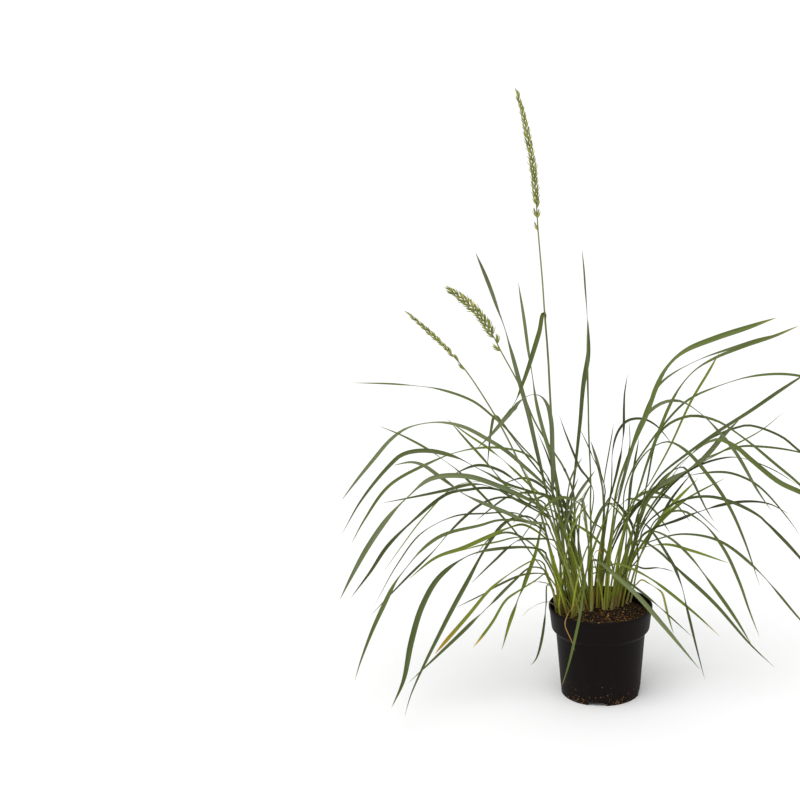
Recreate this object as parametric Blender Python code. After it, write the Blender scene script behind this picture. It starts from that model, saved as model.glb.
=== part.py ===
"""Potted blue lyme grass: a clump of grass shoots and three flower stalks in a 17 cm nursery pot.

Metres, +Z up. The origin is the centre of the pot's underside, and the front of the pot faces -Y.
"""

import math

import bpy
from mathutils import Vector
from mathutils.geometry import interpolate_bezier

CM = 0.01
GAP = 0.0003

# Nursery pot, thin moulded plastic.
POT_RIM_RADIUS = 0.085
POT_HEIGHT = 0.153
POT_WALL = 0.0016
POT_LIP = 0.0026
POT_LIP_HEIGHT = 0.006
POT_LIP_ROUND = 0.0008
COLLAR_FOOT_RADIUS = 0.0805
COLLAR_FOOT_HEIGHT = 0.115
SHOULDER_RADIUS = 0.0732
SHOULDER_HEIGHT = 0.107
POT_FOOT_RADIUS = 0.065
POT_FOOT_ROUND = 0.0015
FLOOR_THICKNESS = 0.002
POT_SIDES = 44

# Four drainage channels run in from the foot, one of them near the front.
CHANNEL_COUNT = 4
CHANNEL_FIRST_ANGLE = math.radians(-95.0)
CHANNEL_WIDTH = 0.029
CHANNEL_HEIGHT = 0.006
CHANNEL_LENGTH = 0.025
CHANNEL_ROOF = 0.002
CHANNEL_PAST_WALL = 0.01
DRAIN_HOLE_RADIUS = 0.004
DRAIN_HOLE_SIDES = 8
DRAIN_HOLE_PLACE = 0.6

# Potting soil.
SOIL_TOP = 0.134
SOIL_CROWN_RISE = 0.004
SOIL_MIDDLE_RING = 0.55

# Shoots: a round column of rolled leaf sheaths, and long keeled blades.
SHEATH_FOOT_RADIUS = 0.0032
SHEATH_HEAD_RADIUS = 0.0021
SHEATH_SIDES = 6
SHEATH_RINGS = 4
SHEATH_STEPS = 4
SHEATH_BOW = 0.10
ROOTED_DEPTH = 0.014
CURVE_STEPS = 12
LEAF_COLOURS = ("5F7357", "6C8480", "4A5C33")
BLADE_FIRST_STEP = 0.012
BLADE_LEAST_TURN = 25
BLADE_TURN_RANGE = 50
BLADE_KEEL = 0.22
BLADE_LEAST_KEEL = 0.0007
BLADE_FOOT_SHARE = 0.32
BLADE_WIDENED_BY = 0.14
BLADE_FULL_UNTIL = 0.38
BLADE_TAPER_POWER = 1.7
BLADE_RING_EVERY = 0.062
BLADE_FEWEST_RINGS = 5
BLADE_MOST_RINGS = 10

# Flower stalks.
CULM_FOOT_RADIUS = 0.0022
CULM_HEAD_RADIUS = 0.0011
CULM_SIDES = 5
STALK_POINTS = 121
STALK_RING_STEP = 10
RACHIS_TIP_RADIUS = 0.0005
SPIKELET_PITCH = 0.0105
SPIKELET_LENGTH = 0.019
SPIKELET_THICKNESS = 0.0045
SPIKELET_REACH = 0.42
SPIKELET_WIDEST = 0.4
SPIKELET_FATNESS = 0.2
SPIKELET_SUNK = 0.002

# The photograph's eye, from which the readings below were taken.
EYE = Vector((0.0, -3.0, 1.343))

# Readings are centimetres: across and up on the upright plane through the pot's axis, as the eye
# sees them, and a depth behind that plane. A blade row holds where on its sheath it leaves, its
# width, the depth of its tip, and the points of its midrib, the tip last. A third number in a
# point is that point's own depth.
SHOOTS = (
    ((-7.1, 0.5), (-9.0, 21.4, -0.3), (
        (0.97, 0.65, -7, ((-10.4, 22.9), (-13.5, 21.4), (-17.9, 17.9), (-21.8, 13.1), (-27.6, 6.0))),
        (0.80, 0.50, -10, ((-10.6, 19.4), (-13.3, 17.6), (-15.6, 15.8), (-18.0, 11.7), (-21.2, 7.2))),
        (0.55, 0.25, -3, ((-9.4, 19.0), (-10.6, 19.1), (-12.1, 18.7))),
    )),
    ((-6.6, -0.6), (-9.0, 20.6, -2.6), (
        (0.97, 0.65, -9, ((-11.5, 21.6), (-14.4, 19.0), (-20.8, 12.2), (-27.7, 5.2), (-32.2, 0.7))),
        (0.85, 0.40, 2, ((-12.3, 20.4), (-17.0, 18.3), (-19.0, 17.0), (-23.9, 14.4))),
        (0.55, 0.50, -5, ((-8.7, 18.6), (-9.0, 14.8), (-9.7, 9.1), (-10.7, 5.4), (-11.6, 4.2))),
    )),
    ((-6.6, 1.9), (-9.0, 28.4, 2.4), (
        (0.98, 0.90, -5, ((-9.5, 29.6), (-10.0, 27.4), (-10.7, 24.0), (-12.6, 18.7), (-14.9, 12.3),
                          (-16.4, 6.8))),
        (0.85, 0.85, -20, ((-11.8, 30.4), (-15.6, 29.3), (-18.7, 25.2), (-22.2, 18.7), (-25.7, 11.9),
                           (-29.2, 4.7), (-31.9, -1.6), (-33.0, -5.6))),
    )),
    ((-5.4, -0.8), (-8.9, 23.8, -4.0), (
        (0.97, 1.00, -20, ((-11.7, 25.1), (-16.7, 24.8), (-22.0, 23.4), (-26.6, 19.8), (-29.5, 14.7),
                           (-31.6, 8.0), (-33.0, 1.2), (-35.2, -4.0))),
        (0.80, 0.30, 3, ((-12.5, 26.7), (-17.0, 26.0), (-20.0, 25.3), (-23.2, 24.3))),
    )),
    ((-5.9, 0.4), (-8.9, 27.4, -1.8), (
        (0.97, 0.85, -12, ((-12.5, 29.5), (-16.6, 29.7), (-19.3, 28.9), (-26.6, 26.6), (-32.4, 20.8),
                           (-36.8, 12.7), (-40.1, 4.6), (-41.3, 0.8))),
        (0.85, 0.70, -6, ((-12.5, 29.0), (-15.0, 28.4), (-18.5, 26.8), (-22.5, 24.9), (-27.0, 23.2),
                          (-31.8, 19.2))),
        (0.90, 0.32, 1, ((-13.0, 30.8), (-19.2, 30.9), (-23.8, 30.4), (-29.3, 27.4), (-33.4, 22.0),
                          (-37.5, 14.6))),
    )),
    ((-4.5, -1.9), (-2.9, 23.0, -3.8), (
        (0.97, 0.60, -14, ((-2.0, 25.4), (-2.1, 23.0, -7), (-2.4, 20.0, -8.5), (-3.0, 16.7), (-3.5, 13.0),
                           (-4.2, 9.5), (-5.7, 3.1), (-6.5, 0.4))),
        (0.20, 0.35, -8.6, ((-4.9, 14.1, -4.6), (-5.35, 13.5, -7.4), (-5.8, 11.7, -8.6), (-5.4, 10.3),
                            (-4.8, 8.9), (-4.2, 6.9))),
    )),
    ((-3.7, -1.0), (-8.3, 28.4, -2.6), (
        (0.97, 0.80, -2, ((-11.8, 29.4), (-15.3, 31.0), (-21.6, 33.9), (-26.2, 37.2), (-28.6, 39.0),
                          (-30.5, 39.6), (-33.7, 39.1))),
        (0.80, 0.45, -12, ((-10.5, 26.6), (-13.6, 26.2), (-17.5, 22.6), (-21.4, 18.6))),
    )),
    ((-4.8, 0.7), (-8.0, 19.4, 1.1), (
        (0.97, 0.48, 4, ((-11.0, 23.6), (-14.0, 28.0), (-16.7, 31.3), (-19.4, 34.4), (-23.4, 38.5),
                         (-27.8, 41.8), (-32.2, 44.3), (-36.0, 45.9))),
        (0.60, 0.45, 6, ((-8.8, 22.6), (-11.6, 26.0), (-14.8, 27.6), (-17.6, 26.9), (-20.6, 23.4))),
    )),
    ((-3.3, 0.4), (-8.4, 30.8, -1.0), (
        (0.97, 0.90, -6, ((-12.0, 33.5), (-17.2, 35.9), (-21.8, 37.3), (-27.2, 36.9), (-31.0, 34.0),
                          (-34.7, 30.0), (-38.2, 25.0), (-41.0, 20.0), (-43.3, 15.5))),
        (0.88, 0.60, 3, ((-14.0, 33.5), (-18.0, 35.6), (-21.0, 35.9), (-25.0, 34.9), (-30.0, 33.8),
                         (-35.8, 32.6))),
    )),
    ((-4.0, 1.6), (-9.0, 32.4, 1.8), (
        (0.97, 0.70, -2, ((-12.5, 33.8), (-18.0, 35.3), (-21.5, 35.0), (-24.8, 34.3), (-30.0, 30.1),
                          (-35.0, 25.0), (-38.0, 20.5), (-41.5, 15.8))),
        (0.90, 0.25, 9, ((-13.0, 34.8), (-19.5, 36.4), (-23.5, 35.6), (-28.5, 30.6), (-33.0, 24.6),
                         (-35.9, 20.4))),
        (0.82, 0.55, -7, ((-13.0, 33.2), (-16.2, 33.7), (-18.5, 33.0), (-20.6, 31.6), (-24.5, 27.8),
                          (-27.8, 23.8), (-32.1, 19.4), (-38.3, 12.7))),
    )),
    ((-2.4, 1.7), (-7.8, 33.0, -0.4), (
        (0.97, 0.80, -2, ((-11.4, 34.8), (-15.1, 36.0), (-18.8, 38.1), (-23.1, 40.4), (-27.8, 41.6),
                          (-31.9, 41.0), (-34.2, 39.1), (-39.1, 33.0), (-42.6, 27.0))),
        (0.85, 0.45, 11, ((-11.8, 32.6), (-15.1, 35.6), (-18.3, 39.6), (-21.6, 43.5), (-24.3, 46.8))),
    )),
    ((-3.1, 2.9), (-7.4, 33.6, 3.6), (
        (0.97, 0.85, 5, ((-10.1, 36.8), (-12.8, 39.3), (-15.0, 41.3), (-17.7, 43.2), (-22.1, 45.6),
                         (-26.8, 46.4), (-30.9, 45.5), (-33.5, 43.7), (-36.7, 40.1), (-42.4, 33.0))),
        (0.88, 0.45, 13, ((-10.5, 35.0), (-14.8, 39.3), (-17.8, 41.9), (-21.6, 44.6), (-24.9, 47.2))),
    )),
    ((-5.0, 4.1), (-8.7, 34.6, 5.6), (
        (0.97, 0.90, 16, ((-9.4, 38.4), (-11.0, 46.0), (-12.7, 53.0), (-14.9, 61.3), (-18.0, 70.8),
                          (-19.6, 74.4))),
        (0.88, 0.55, -2, ((-9.8, 39.0), (-11.5, 40.8), (-13.9, 41.8), (-18.2, 42.2), (-23.1, 41.4),
                          (-27.5, 39.6), (-34.3, 35.7), (-38.6, 29.8), (-41.1, 25.3))),
    )),
    ((-3.7, 4.2), (-8.1, 36.2, 7.2), (
        (0.97, 0.45, 15, ((-10.3, 39.8), (-12.8, 42.6), (-15.0, 45.3), (-17.2, 47.4), (-20.4, 50.0),
                          (-25.9, 52.0), (-32.3, 52.8), (-40.0, 53.1))),
        (0.88, 0.55, 4, ((-10.2, 38.5), (-13.2, 42.5), (-15.8, 46.3), (-16.9, 47.6), (-17.5, 45.5),
                         (-17.9, 42.5), (-18.3, 38.7))),
    )),
    ((-5.8, 2.8), (-7.7, 33.8, 3.0), (
        (0.97, 0.85, -3, ((-7.8, 42.0), (-8.0, 47.0), (-8.6, 49.5), (-9.7, 50.9), (-11.0, 51.1),
                          (-12.4, 50.3), (-14.3, 48.3), (-17.8, 44.1), (-20.0, 42.0))),
        (0.75, 0.50, 14, ((-9.6, 31.5), (-12.6, 35.6), (-16.0, 38.2), (-19.6, 39.2), (-24.0, 37.6))),
    )),
    ((-2.3, 4.2), (-6.0, 31.2, 5.2), (
        (0.97, 0.70, 17, ((-6.7, 35.0), (-7.3, 38.2), (-8.0, 41.2), (-8.9, 44.2), (-10.0, 49.0),
                          (-11.1, 56.4), (-11.9, 63.0), (-12.9, 69.6))),
        (0.85, 0.50, 20, ((-6.6, 31.6), (-8.8, 35.2), (-12.0, 37.0), (-16.0, 36.0))),
    )),
    ((-3.9, 5.5), (-4.8, 30.6, 6.4), (
        (0.97, 1.10, 13, ((-4.4, 36.4), (-3.9, 41.0), (-3.5, 45.5), (-2.8, 53.0), (-2.1, 58.0),
                          (-1.95, 63.5))),
        (0.80, 0.55, 20, ((-5.8, 31.0), (-8.0, 34.0), (-11.0, 33.0), (-14.4, 29.0))),
    )),
    ((-1.6, 2.9), (-1.6, 31.0, 3.2), (
        (0.97, 0.80, 7, ((-1.5, 36.0), (-1.8, 45.0), (-1.9, 52.0), (-2.0, 58.0), (-2.1, 64.0),
                         (-2.5, 71.5), (-2.9, 74.8))),
        (0.85, 0.40, 9, ((-1.1, 34.6), (-1.9, 36.8), (-3.2, 38.6), (-4.2, 41.0), (-5.6, 44.7),
                         (-6.6, 47.7))),
    )),
    ((-0.3, 2.6), (0.7, 34.4, 2.0), (
        (0.97, 0.42, -3, ((0.1, 37.6), (-1.2, 40.5), (-2.5, 43.6), (-3.4, 45.6))),
        (0.80, 0.38, 8, ((0.6, 37.0), (1.0, 39.8), (1.3, 41.5), (2.1, 46.3))),
        (0.65, 0.60, -8, ((-1.4, 29.6), (-3.8, 33.0), (-7.0, 33.6), (-10.6, 30.4))),
    )),
    ((-0.9, 4.0), (1.6, 34.5, 4.8), (
        (0.97, 0.45, 12, ((1.8, 38.5), (1.9, 41.5), (2.4, 44.0), (3.1, 45.5), (4.2, 46.7), (5.7, 47.1),
                          (7.2, 46.9), (9.0, 45.8), (11.6, 42.6))),
        (0.88, 0.65, 10, ((2.7, 38.6), (3.5, 43.0), (3.7, 49.2), (3.8, 51.3), (4.3, 54.6))),
    )),
    ((0.8, 1.4), (2.3, 33.2, 0.8), (
        (0.97, 1.00, 3, ((3.2, 37.4), (4.6, 41.2), (6.0, 44.6), (7.3, 47.6), (8.7, 51.9), (10.8, 55.9),
                         (13.3, 58.2), (18.2, 60.3), (23.4, 62.1), (27.5, 63.6))),
        (0.88, 0.45, -5, ((3.6, 37.4), (4.7, 42.5), (4.7, 44.5), (4.5, 47.0))),
    )),
    ((0.6, 4.0), (2.9, 33.6, 5.2), (
        (0.97, 0.55, 16, ((4.4, 40.0), (6.2, 45.5), (7.7, 49.7), (9.6, 53.0), (14.4, 56.3), (19.6, 58.3),
                          (27.0, 60.8))),
        (0.85, 0.60, 4, ((5.0, 42.0), (7.0, 47.3), (9.8, 49.7), (12.5, 50.0), (15.8, 48.0), (18.7, 45.0),
                         (21.4, 41.6), (25.2, 34.9), (27.4, 31.6))),
    )),
    ((1.5, 2.8), (4.0, 29.6, 2.6), (
        (0.97, 0.80, 6, ((5.2, 32.4), (6.3, 35.6), (7.4, 39.4), (9.0, 44.1), (11.6, 50.5), (14.4, 54.6),
                         (17.8, 56.9), (22.2, 58.7), (27.4, 60.6), (31.0, 62.3))),
        (0.85, 0.50, 11, ((3.8, 34.6), (5.3, 39.0), (7.4, 42.4), (9.5, 45.4), (13.6, 50.0), (18.4, 52.4),
                          (23.6, 54.0), (28.9, 54.4), (36.0, 53.0))),
    )),
    ((2.0, 4.1), (4.9, 32.6, 5.0), (
        (0.97, 0.45, 15, ((7.4, 35.6), (8.9, 38.2), (11.2, 42.8), (14.3, 50.0), (17.0, 54.9),
                          (18.6, 57.9))),
        (0.80, 0.65, -6, ((5.0, 37.0), (6.3, 40.0), (8.2, 42.2), (10.8, 43.2), (13.7, 41.6), (17.5, 37.2),
                          (20.6, 32.4), (23.0, 27.0), (25.9, 18.5))),
    )),
    ((2.7, 3.0), (5.8, 30.2, 2.2), (
        (0.97, 0.60, 3, ((7.6, 34.6), (9.7, 37.7), (14.0, 41.4), (18.7, 45.0), (23.7, 48.4), (28.9, 52.2),
                         (33.2, 55.2))),
        (0.88, 0.85, -3, ((9.6, 36.0), (14.5, 41.2), (18.5, 43.6), (21.5, 42.4), (24.0, 40.2),
                          (28.5, 36.5), (33.0, 34.2), (38.0, 30.0), (41.5, 24.5))),
    )),
    ((3.4, 4.2), (6.0, 28.8, 4.2), (
        (0.97, 0.55, 6, ((7.4, 36.0), (9.6, 45.0), (13.9, 47.5), (18.2, 46.8), (22.4, 44.1), (27.7, 39.6),
                         (31.2, 36.6), (36.0, 31.5), (39.5, 26.5))),
        (0.90, 0.90, 9, ((7.9, 34.4), (10.5, 36.4), (13.2, 38.0), (15.5, 39.6), (17.4, 41.6), (19.4, 44.2),
                         (22.0, 47.0))),
        (0.78, 0.45, 14, ((8.6, 33.0), (12.5, 37.4), (16.6, 40.0), (21.1, 42.6), (25.6, 45.3),
                          (29.1, 48.4))),
    )),
    ((3.0, 5.4), (6.8, 29.4, 6.7), (
        (0.97, 0.42, 13, ((12.2, 38.5), (17.0, 43.5), (21.5, 45.6), (23.6, 46.0), (28.5, 44.2),
                          (31.2, 42.0), (36.5, 37.5), (40.0, 32.5))),
        (0.90, 0.40, 17, ((11.5, 36.0), (16.0, 40.0), (21.9, 42.4), (25.0, 42.5), (31.3, 41.6),
                          (37.0, 39.5))),
        (0.82, 0.45, 12, ((9.8, 34.0), (14.5, 38.6), (20.0, 40.6), (22.7, 40.5), (28.0, 38.3),
                         (31.6, 35.9))),
    )),
    ((2.9, 6.6), (6.6, 26.8, 7.9), (
        (0.97, 0.60, 7, ((8.5, 28.5), (12.2, 29.9), (17.4, 32.0), (22.8, 33.2), (26.8, 32.9),
                         (30.3, 31.1))),
        (0.85, 0.60, -2, ((7.0, 28.6), (9.5, 31.3), (13.8, 33.6), (18.5, 33.9), (24.9, 31.1),
                          (29.4, 26.8), (36.0, 19.0))),
    )),
    ((4.3, 5.3), (7.4, 26.4, 5.4), (
        (0.97, 0.55, -8, ((9.0, 30.0), (12.8, 31.6), (16.5, 29.6), (20.0, 25.0), (22.5, 19.5),
                          (24.2, 14.5), (26.0, 9.7))),
        (0.85, 0.52, -4, ((9.0, 26.6), (13.3, 27.6), (19.3, 26.4), (25.8, 21.0), (32.4, 13.0),
                          (36.5, 8.5))),
    )),
    ((-1.1, 5.4), (3.3, 29.4, 7.8), (
        (0.97, 0.55, 4, ((8.6, 34.6), (12.0, 36.9), (15.2, 37.8), (20.0, 38.1), (23.0, 37.2),
                         (25.5, 35.6), (30.0, 30.4), (32.2, 27.2))),
        (0.88, 0.45, -5, ((7.0, 33.2), (11.0, 38.0), (13.4, 38.9), (14.6, 37.0), (16.9, 32.1),
                          (18.4, 29.5))),
        (0.70, 0.60, 28, ((4.2, 31.6), (7.0, 34.6), (10.6, 34.0), (14.6, 29.6))),
    )),
    ((2.0, 1.8), (4.4, 25.8, 0.8), (
        (0.97, 0.55, -10, ((5.6, 28.8), (6.9, 29.4), (8.6, 27.6), (10.4, 24.8), (12.7, 20.3), (14.2, 14.5),
                           (15.7, 8.1), (17.2, 2.0))),
        (0.88, 0.60, -8, ((6.5, 26.4), (8.7, 25.2), (13.9, 20.3), (18.8, 15.4), (24.5, 8.5),
                          (28.6, 4.4))),
    )),
    ((1.7, 5.2), (5.0, 24.4, 5.2), (
        (0.97, 0.65, -3, ((8.0, 28.0), (11.0, 27.0), (14.4, 23.8), (18.2, 18.6), (22.1, 12.8),
                          (24.8, 8.2))),
        (0.85, 0.48, 2, ((6.3, 25.0), (10.6, 25.8), (14.9, 24.7), (20.9, 22.6))),
    )),
    ((1.5, 6.7), (5.6, 22.6, 8.6), (
        (0.97, 0.50, 11, ((8.6, 28.5), (11.0, 33.0), (13.2, 36.2), (14.8, 38.2))),
        (0.80, 0.38, 6, ((7.0, 21.6), (9.6, 21.7), (12.0, 21.1))),
        (0.55, 0.40, 2, ((5.4, 18.8), (6.8, 19.5), (9.9, 17.5), (11.0, 13.7), (12.0, 10.1))),
    )),
    ((-1.6, 0.9), (-1.3, 22.2, -0.8), (
        (0.97, 0.80, -9, ((-0.4, 22.8), (2.3, 20.5), (6.1, 16.8), (10.0, 12.1), (16.4, 3.9))),
        (0.85, 0.50, -5, ((0.0, 21.4), (2.6, 22.4), (4.6, 21.8), (8.6, 19.5), (14.8, 14.4), (19.8, 9.6))),
        (0.70, 0.40, -3, ((1.2, 20.8), (5.0, 18.8), (8.6, 15.8), (15.2, 9.6))),
    )),
    ((-2.5, 5.5), (-3.6, 27.0, 9.4), (
        (0.97, 0.70, 33, ((-4.6, 31.4), (-6.4, 33.0), (-9.6, 31.0), (-13.4, 25.8))),
        (0.85, 0.55, 24, ((-4.4, 30.2), (-8.4, 34.0), (-14.0, 34.2), (-20.4, 29.6))),
    )),
    ((-1.6, 6.7), (-2.0, 26.4, 12.0), (
        (0.97, 0.75, 36, ((-2.4, 31.0), (-3.0, 33.4), (-4.2, 32.4), (-5.8, 27.4))),
        (0.85, 0.60, 32, ((-0.8, 29.8), (1.0, 32.6), (3.6, 31.8), (6.4, 26.8))),
    )),
    ((0.0, 6.7), (1.4, 26.0, 11.4), (
        (0.97, 0.75, 35, ((2.4, 30.8), (4.2, 33.4), (7.4, 32.6), (11.4, 27.6))),
        (0.85, 0.55, 26, ((3.2, 29.6), (7.4, 33.6), (13.0, 33.0), (19.6, 27.6))),
    )),
)

# A stalk row holds its foot, then the culm's readings up to the spike and its depth there, the
# spike's own readings and the depth of its tip, how wide the spike is, and a leaf if it has one.
STALKS = (
    ((-4.5, 2.9), ((-5.6, 22.0), (-6.9, 33.0), (-7.5, 41.0), (-8.0, 50.3), (-8.3, 57.5), (-8.8, 64.6),
                   (-9.1, 69.7), (-9.7, 77.6)), 3.0,
     ((-10.0, 83.0), (-10.4, 88.0), (-11.2, 92.5), (-12.0, 96.5), (-13.0, 99.8)), 3.0, 0.0125,
     ((0.80, 0.70, -3, ((-9.2, 65.9), (-9.8, 62.2), (-10.8, 58.2), (-12.3, 53.3), (-13.9, 49.4),
                        (-16.0, 46.5))),)),
    ((-4.9, 5.5), ((-5.2, 22.0), (-4.2, 30.0), (-4.4, 34.6), (-5.9, 38.8), (-7.7, 41.8), (-9.4, 44.5),
                   (-10.7, 47.0), (-12.7, 52.2), (-15.8, 58.3)), 12.0,
     ((-17.0, 60.8), (-19.5, 64.7), (-22.7, 67.6), (-24.4, 68.6)), 13.0, 0.0165, ()),
    ((-5.2, 1.5), ((-8.2, 25.0), (-10.4, 33.4), (-13.4, 40.4), (-15.0, 43.9), (-16.9, 47.6),
                   (-18.9, 51.1), (-21.4, 55.0)), -2.0,
     ((-24.1, 58.3), (-26.7, 61.0), (-29.6, 63.7), (-31.0, 64.9)), -3.0, 0.0095, ()),
)


def clear_scene():
    for thing in list(bpy.data.objects):
        bpy.data.objects.remove(thing, do_unlink=True)


def finish(name, hex_colour, roughness):
    """A Principled material; the colour is an sRGB hex value."""
    material = bpy.data.materials.new(name)
    material.use_nodes = True
    channels = [int(hex_colour[i:i + 2], 16) / 255 for i in (0, 2, 4)]
    linear = [c / 12.92 if c <= 0.04045 else ((c + 0.055) / 1.055) ** 2.4 for c in channels]
    shader = material.node_tree.nodes["Principled BSDF"]
    shader.inputs["Base Color"].default_value = (*linear, 1.0)
    shader.inputs["Roughness"].default_value = roughness
    material.diffuse_color = (*linear, 1.0)
    return material


def add_object(name, points, faces, material=None, helper=False):
    mesh = bpy.data.meshes.new(name)
    mesh.from_pydata([tuple(p) for p in points], [], faces)
    mesh.update()
    mesh.validate()
    thing = bpy.data.objects.new(name, mesh)
    bpy.context.scene.collection.objects.link(thing)
    if material:
        mesh.materials.append(material)
    if helper:
        thing.hide_render = True
        thing.display_type = "WIRE"
    return thing


def join_in(thing, operand, operation):
    """One Boolean of the given kind, left on the object as a modifier."""
    modifier = thing.modifiers.new(operation.lower() + " " + operand.name, "BOOLEAN")
    modifier.operation = operation
    modifier.object = operand
    modifier.solver = "EXACT"


def seen(across, up, depth):
    """The point at this depth that the eye sees at (across, up) on the plane through the pot's axis."""
    on_plane = Vector((across * CM, 0.0, up * CM))
    return EYE + (on_plane - EYE) * ((depth * CM - EYE.y) / -EYE.y)


def smooth_line(points, count):
    """Evenly spaced points on a smooth curve through the given ones."""
    spans = [math.sqrt((q - p).length) for p, q in zip(points, points[1:])]
    slopes = [(q - p) / span for p, q, span in zip(points, points[1:], spans)]
    tangents = [slopes[0]]
    for i in range(len(spans) - 1):
        mixed = slopes[i] * spans[i + 1] + slopes[i + 1] * spans[i]
        tangents.append(mixed / (spans[i] + spans[i + 1]))
    tangents.append(slopes[-1])
    dense = []
    for i, span in enumerate(spans):
        low = points[i] + tangents[i] * span / 3
        high = points[i + 1] - tangents[i + 1] * span / 3
        dense += interpolate_bezier(points[i], low, high, points[i + 1], CURVE_STEPS)
    return even_points(dense, count)


def run_along(line):
    """How far along the line each of its points is."""
    lengths = [0.0]
    for p, q in zip(line, line[1:]):
        lengths.append(lengths[-1] + (q - p).length)
    return lengths


def even_points(line, count):
    lengths = run_along(line)
    made = []
    at = 0
    for i in range(count):
        wanted = lengths[-1] * i / (count - 1)
        while at < len(line) - 2 and lengths[at + 1] < wanted:
            at += 1
        share = (wanted - lengths[at]) / max(lengths[at + 1] - lengths[at], 1e-9)
        made.append(line[at].lerp(line[at + 1], min(share, 1.0)))
    return made


def closed_tube(line, radii, sides):
    """Points and faces of a round tube along a line, closed at both ends."""
    points = []
    across = Vector((1.0, 0.0, 0.0))
    for i, centre in enumerate(line):
        along = (line[min(i + 1, len(line) - 1)] - line[max(i - 1, 0)]).normalized()
        across = (across - along * across.dot(along)).normalized()
        other = along.cross(across)
        for side in range(sides):
            angle = 2 * math.pi * side / sides
            points.append(centre + (across * math.cos(angle) + other * math.sin(angle)) * radii[i])
    return points, wrapped_faces(len(line), sides)


def wrapped_faces(rings, sides):
    faces = [tuple(reversed(range(sides)))]
    for ring in range(rings - 1):
        for side in range(sides):
            near = ring * sides + side
            far = ring * sides + (side + 1) % sides
            faces.append((near, far, far + sides, near + sides))
    faces.append(tuple(range((rings - 1) * sides, rings * sides)))
    return faces


def turned(profile, sides):
    """A closed solid turned from (radius, height) pairs that start and end on the axis."""
    points = [Vector((0.0, 0.0, profile[0][1]))]
    for radius, height in profile[1:-1]:
        for side in range(sides):
            angle = 2 * math.pi * side / sides
            points.append(Vector((radius * math.cos(angle), radius * math.sin(angle), height)))
    points.append(Vector((0.0, 0.0, profile[-1][1])))
    rings = len(profile) - 2
    faces = []
    for side in range(sides):
        following = (side + 1) % sides
        faces.append((0, 1 + following, 1 + side))
        for ring in range(rings - 1):
            low = 1 + ring * sides
            faces.append((low + side, low + following, low + sides + following, low + sides + side))
        top = 1 + (rings - 1) * sides
        faces.append((top + side, top + following, len(points) - 1))
    return points, faces


def fan_block(middle, half_angle, inner, outer, low, high):
    """A block between two radii, its top sloping down towards both sides, all in triangles."""
    side_height = 0.65
    slope_starts = 0.7
    columns = (
        (-1.0, side_height), (-slope_starts, 1.0), (0.0, 1.0), (slope_starts, 1.0), (1.0, side_height),
    )
    points = []
    for share, rise in columns:
        angle = middle + half_angle * share
        for radius, height in ((outer, low), (outer, high * rise), (inner, high * rise), (inner, low)):
            points.append(Vector((radius * math.cos(angle), radius * math.sin(angle), height)))
    faces = [tuple(range(4)), tuple(reversed(range(len(points) - 4, len(points))))]
    for column in range(len(columns) - 1):
        for corner in range(4):
            near = column * 4 + corner
            far = column * 4 + (corner + 1) % 4
            faces += [(near, near + 4, far + 4), (near, far + 4, far)]
    return points, faces


def inner_radius(height):
    """The pot's inside radius at a height above its floor."""
    stations = (
        (0.0, POT_FOOT_RADIUS), (SHOULDER_HEIGHT, SHOULDER_RADIUS),
        (COLLAR_FOOT_HEIGHT, COLLAR_FOOT_RADIUS), (POT_HEIGHT, POT_RIM_RADIUS),
    )
    for (low, small), (high, wide) in zip(stations, stations[1:]):
        if height <= high:
            return small + (wide - small) * (height - low) / (high - low) - POT_WALL
    return POT_RIM_RADIUS - POT_WALL


def soil_height(x, y):
    share = (x * x + y * y) / inner_radius(SOIL_TOP) ** 2
    return SOIL_TOP + SOIL_CROWN_RISE * (1.0 - share)


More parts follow.
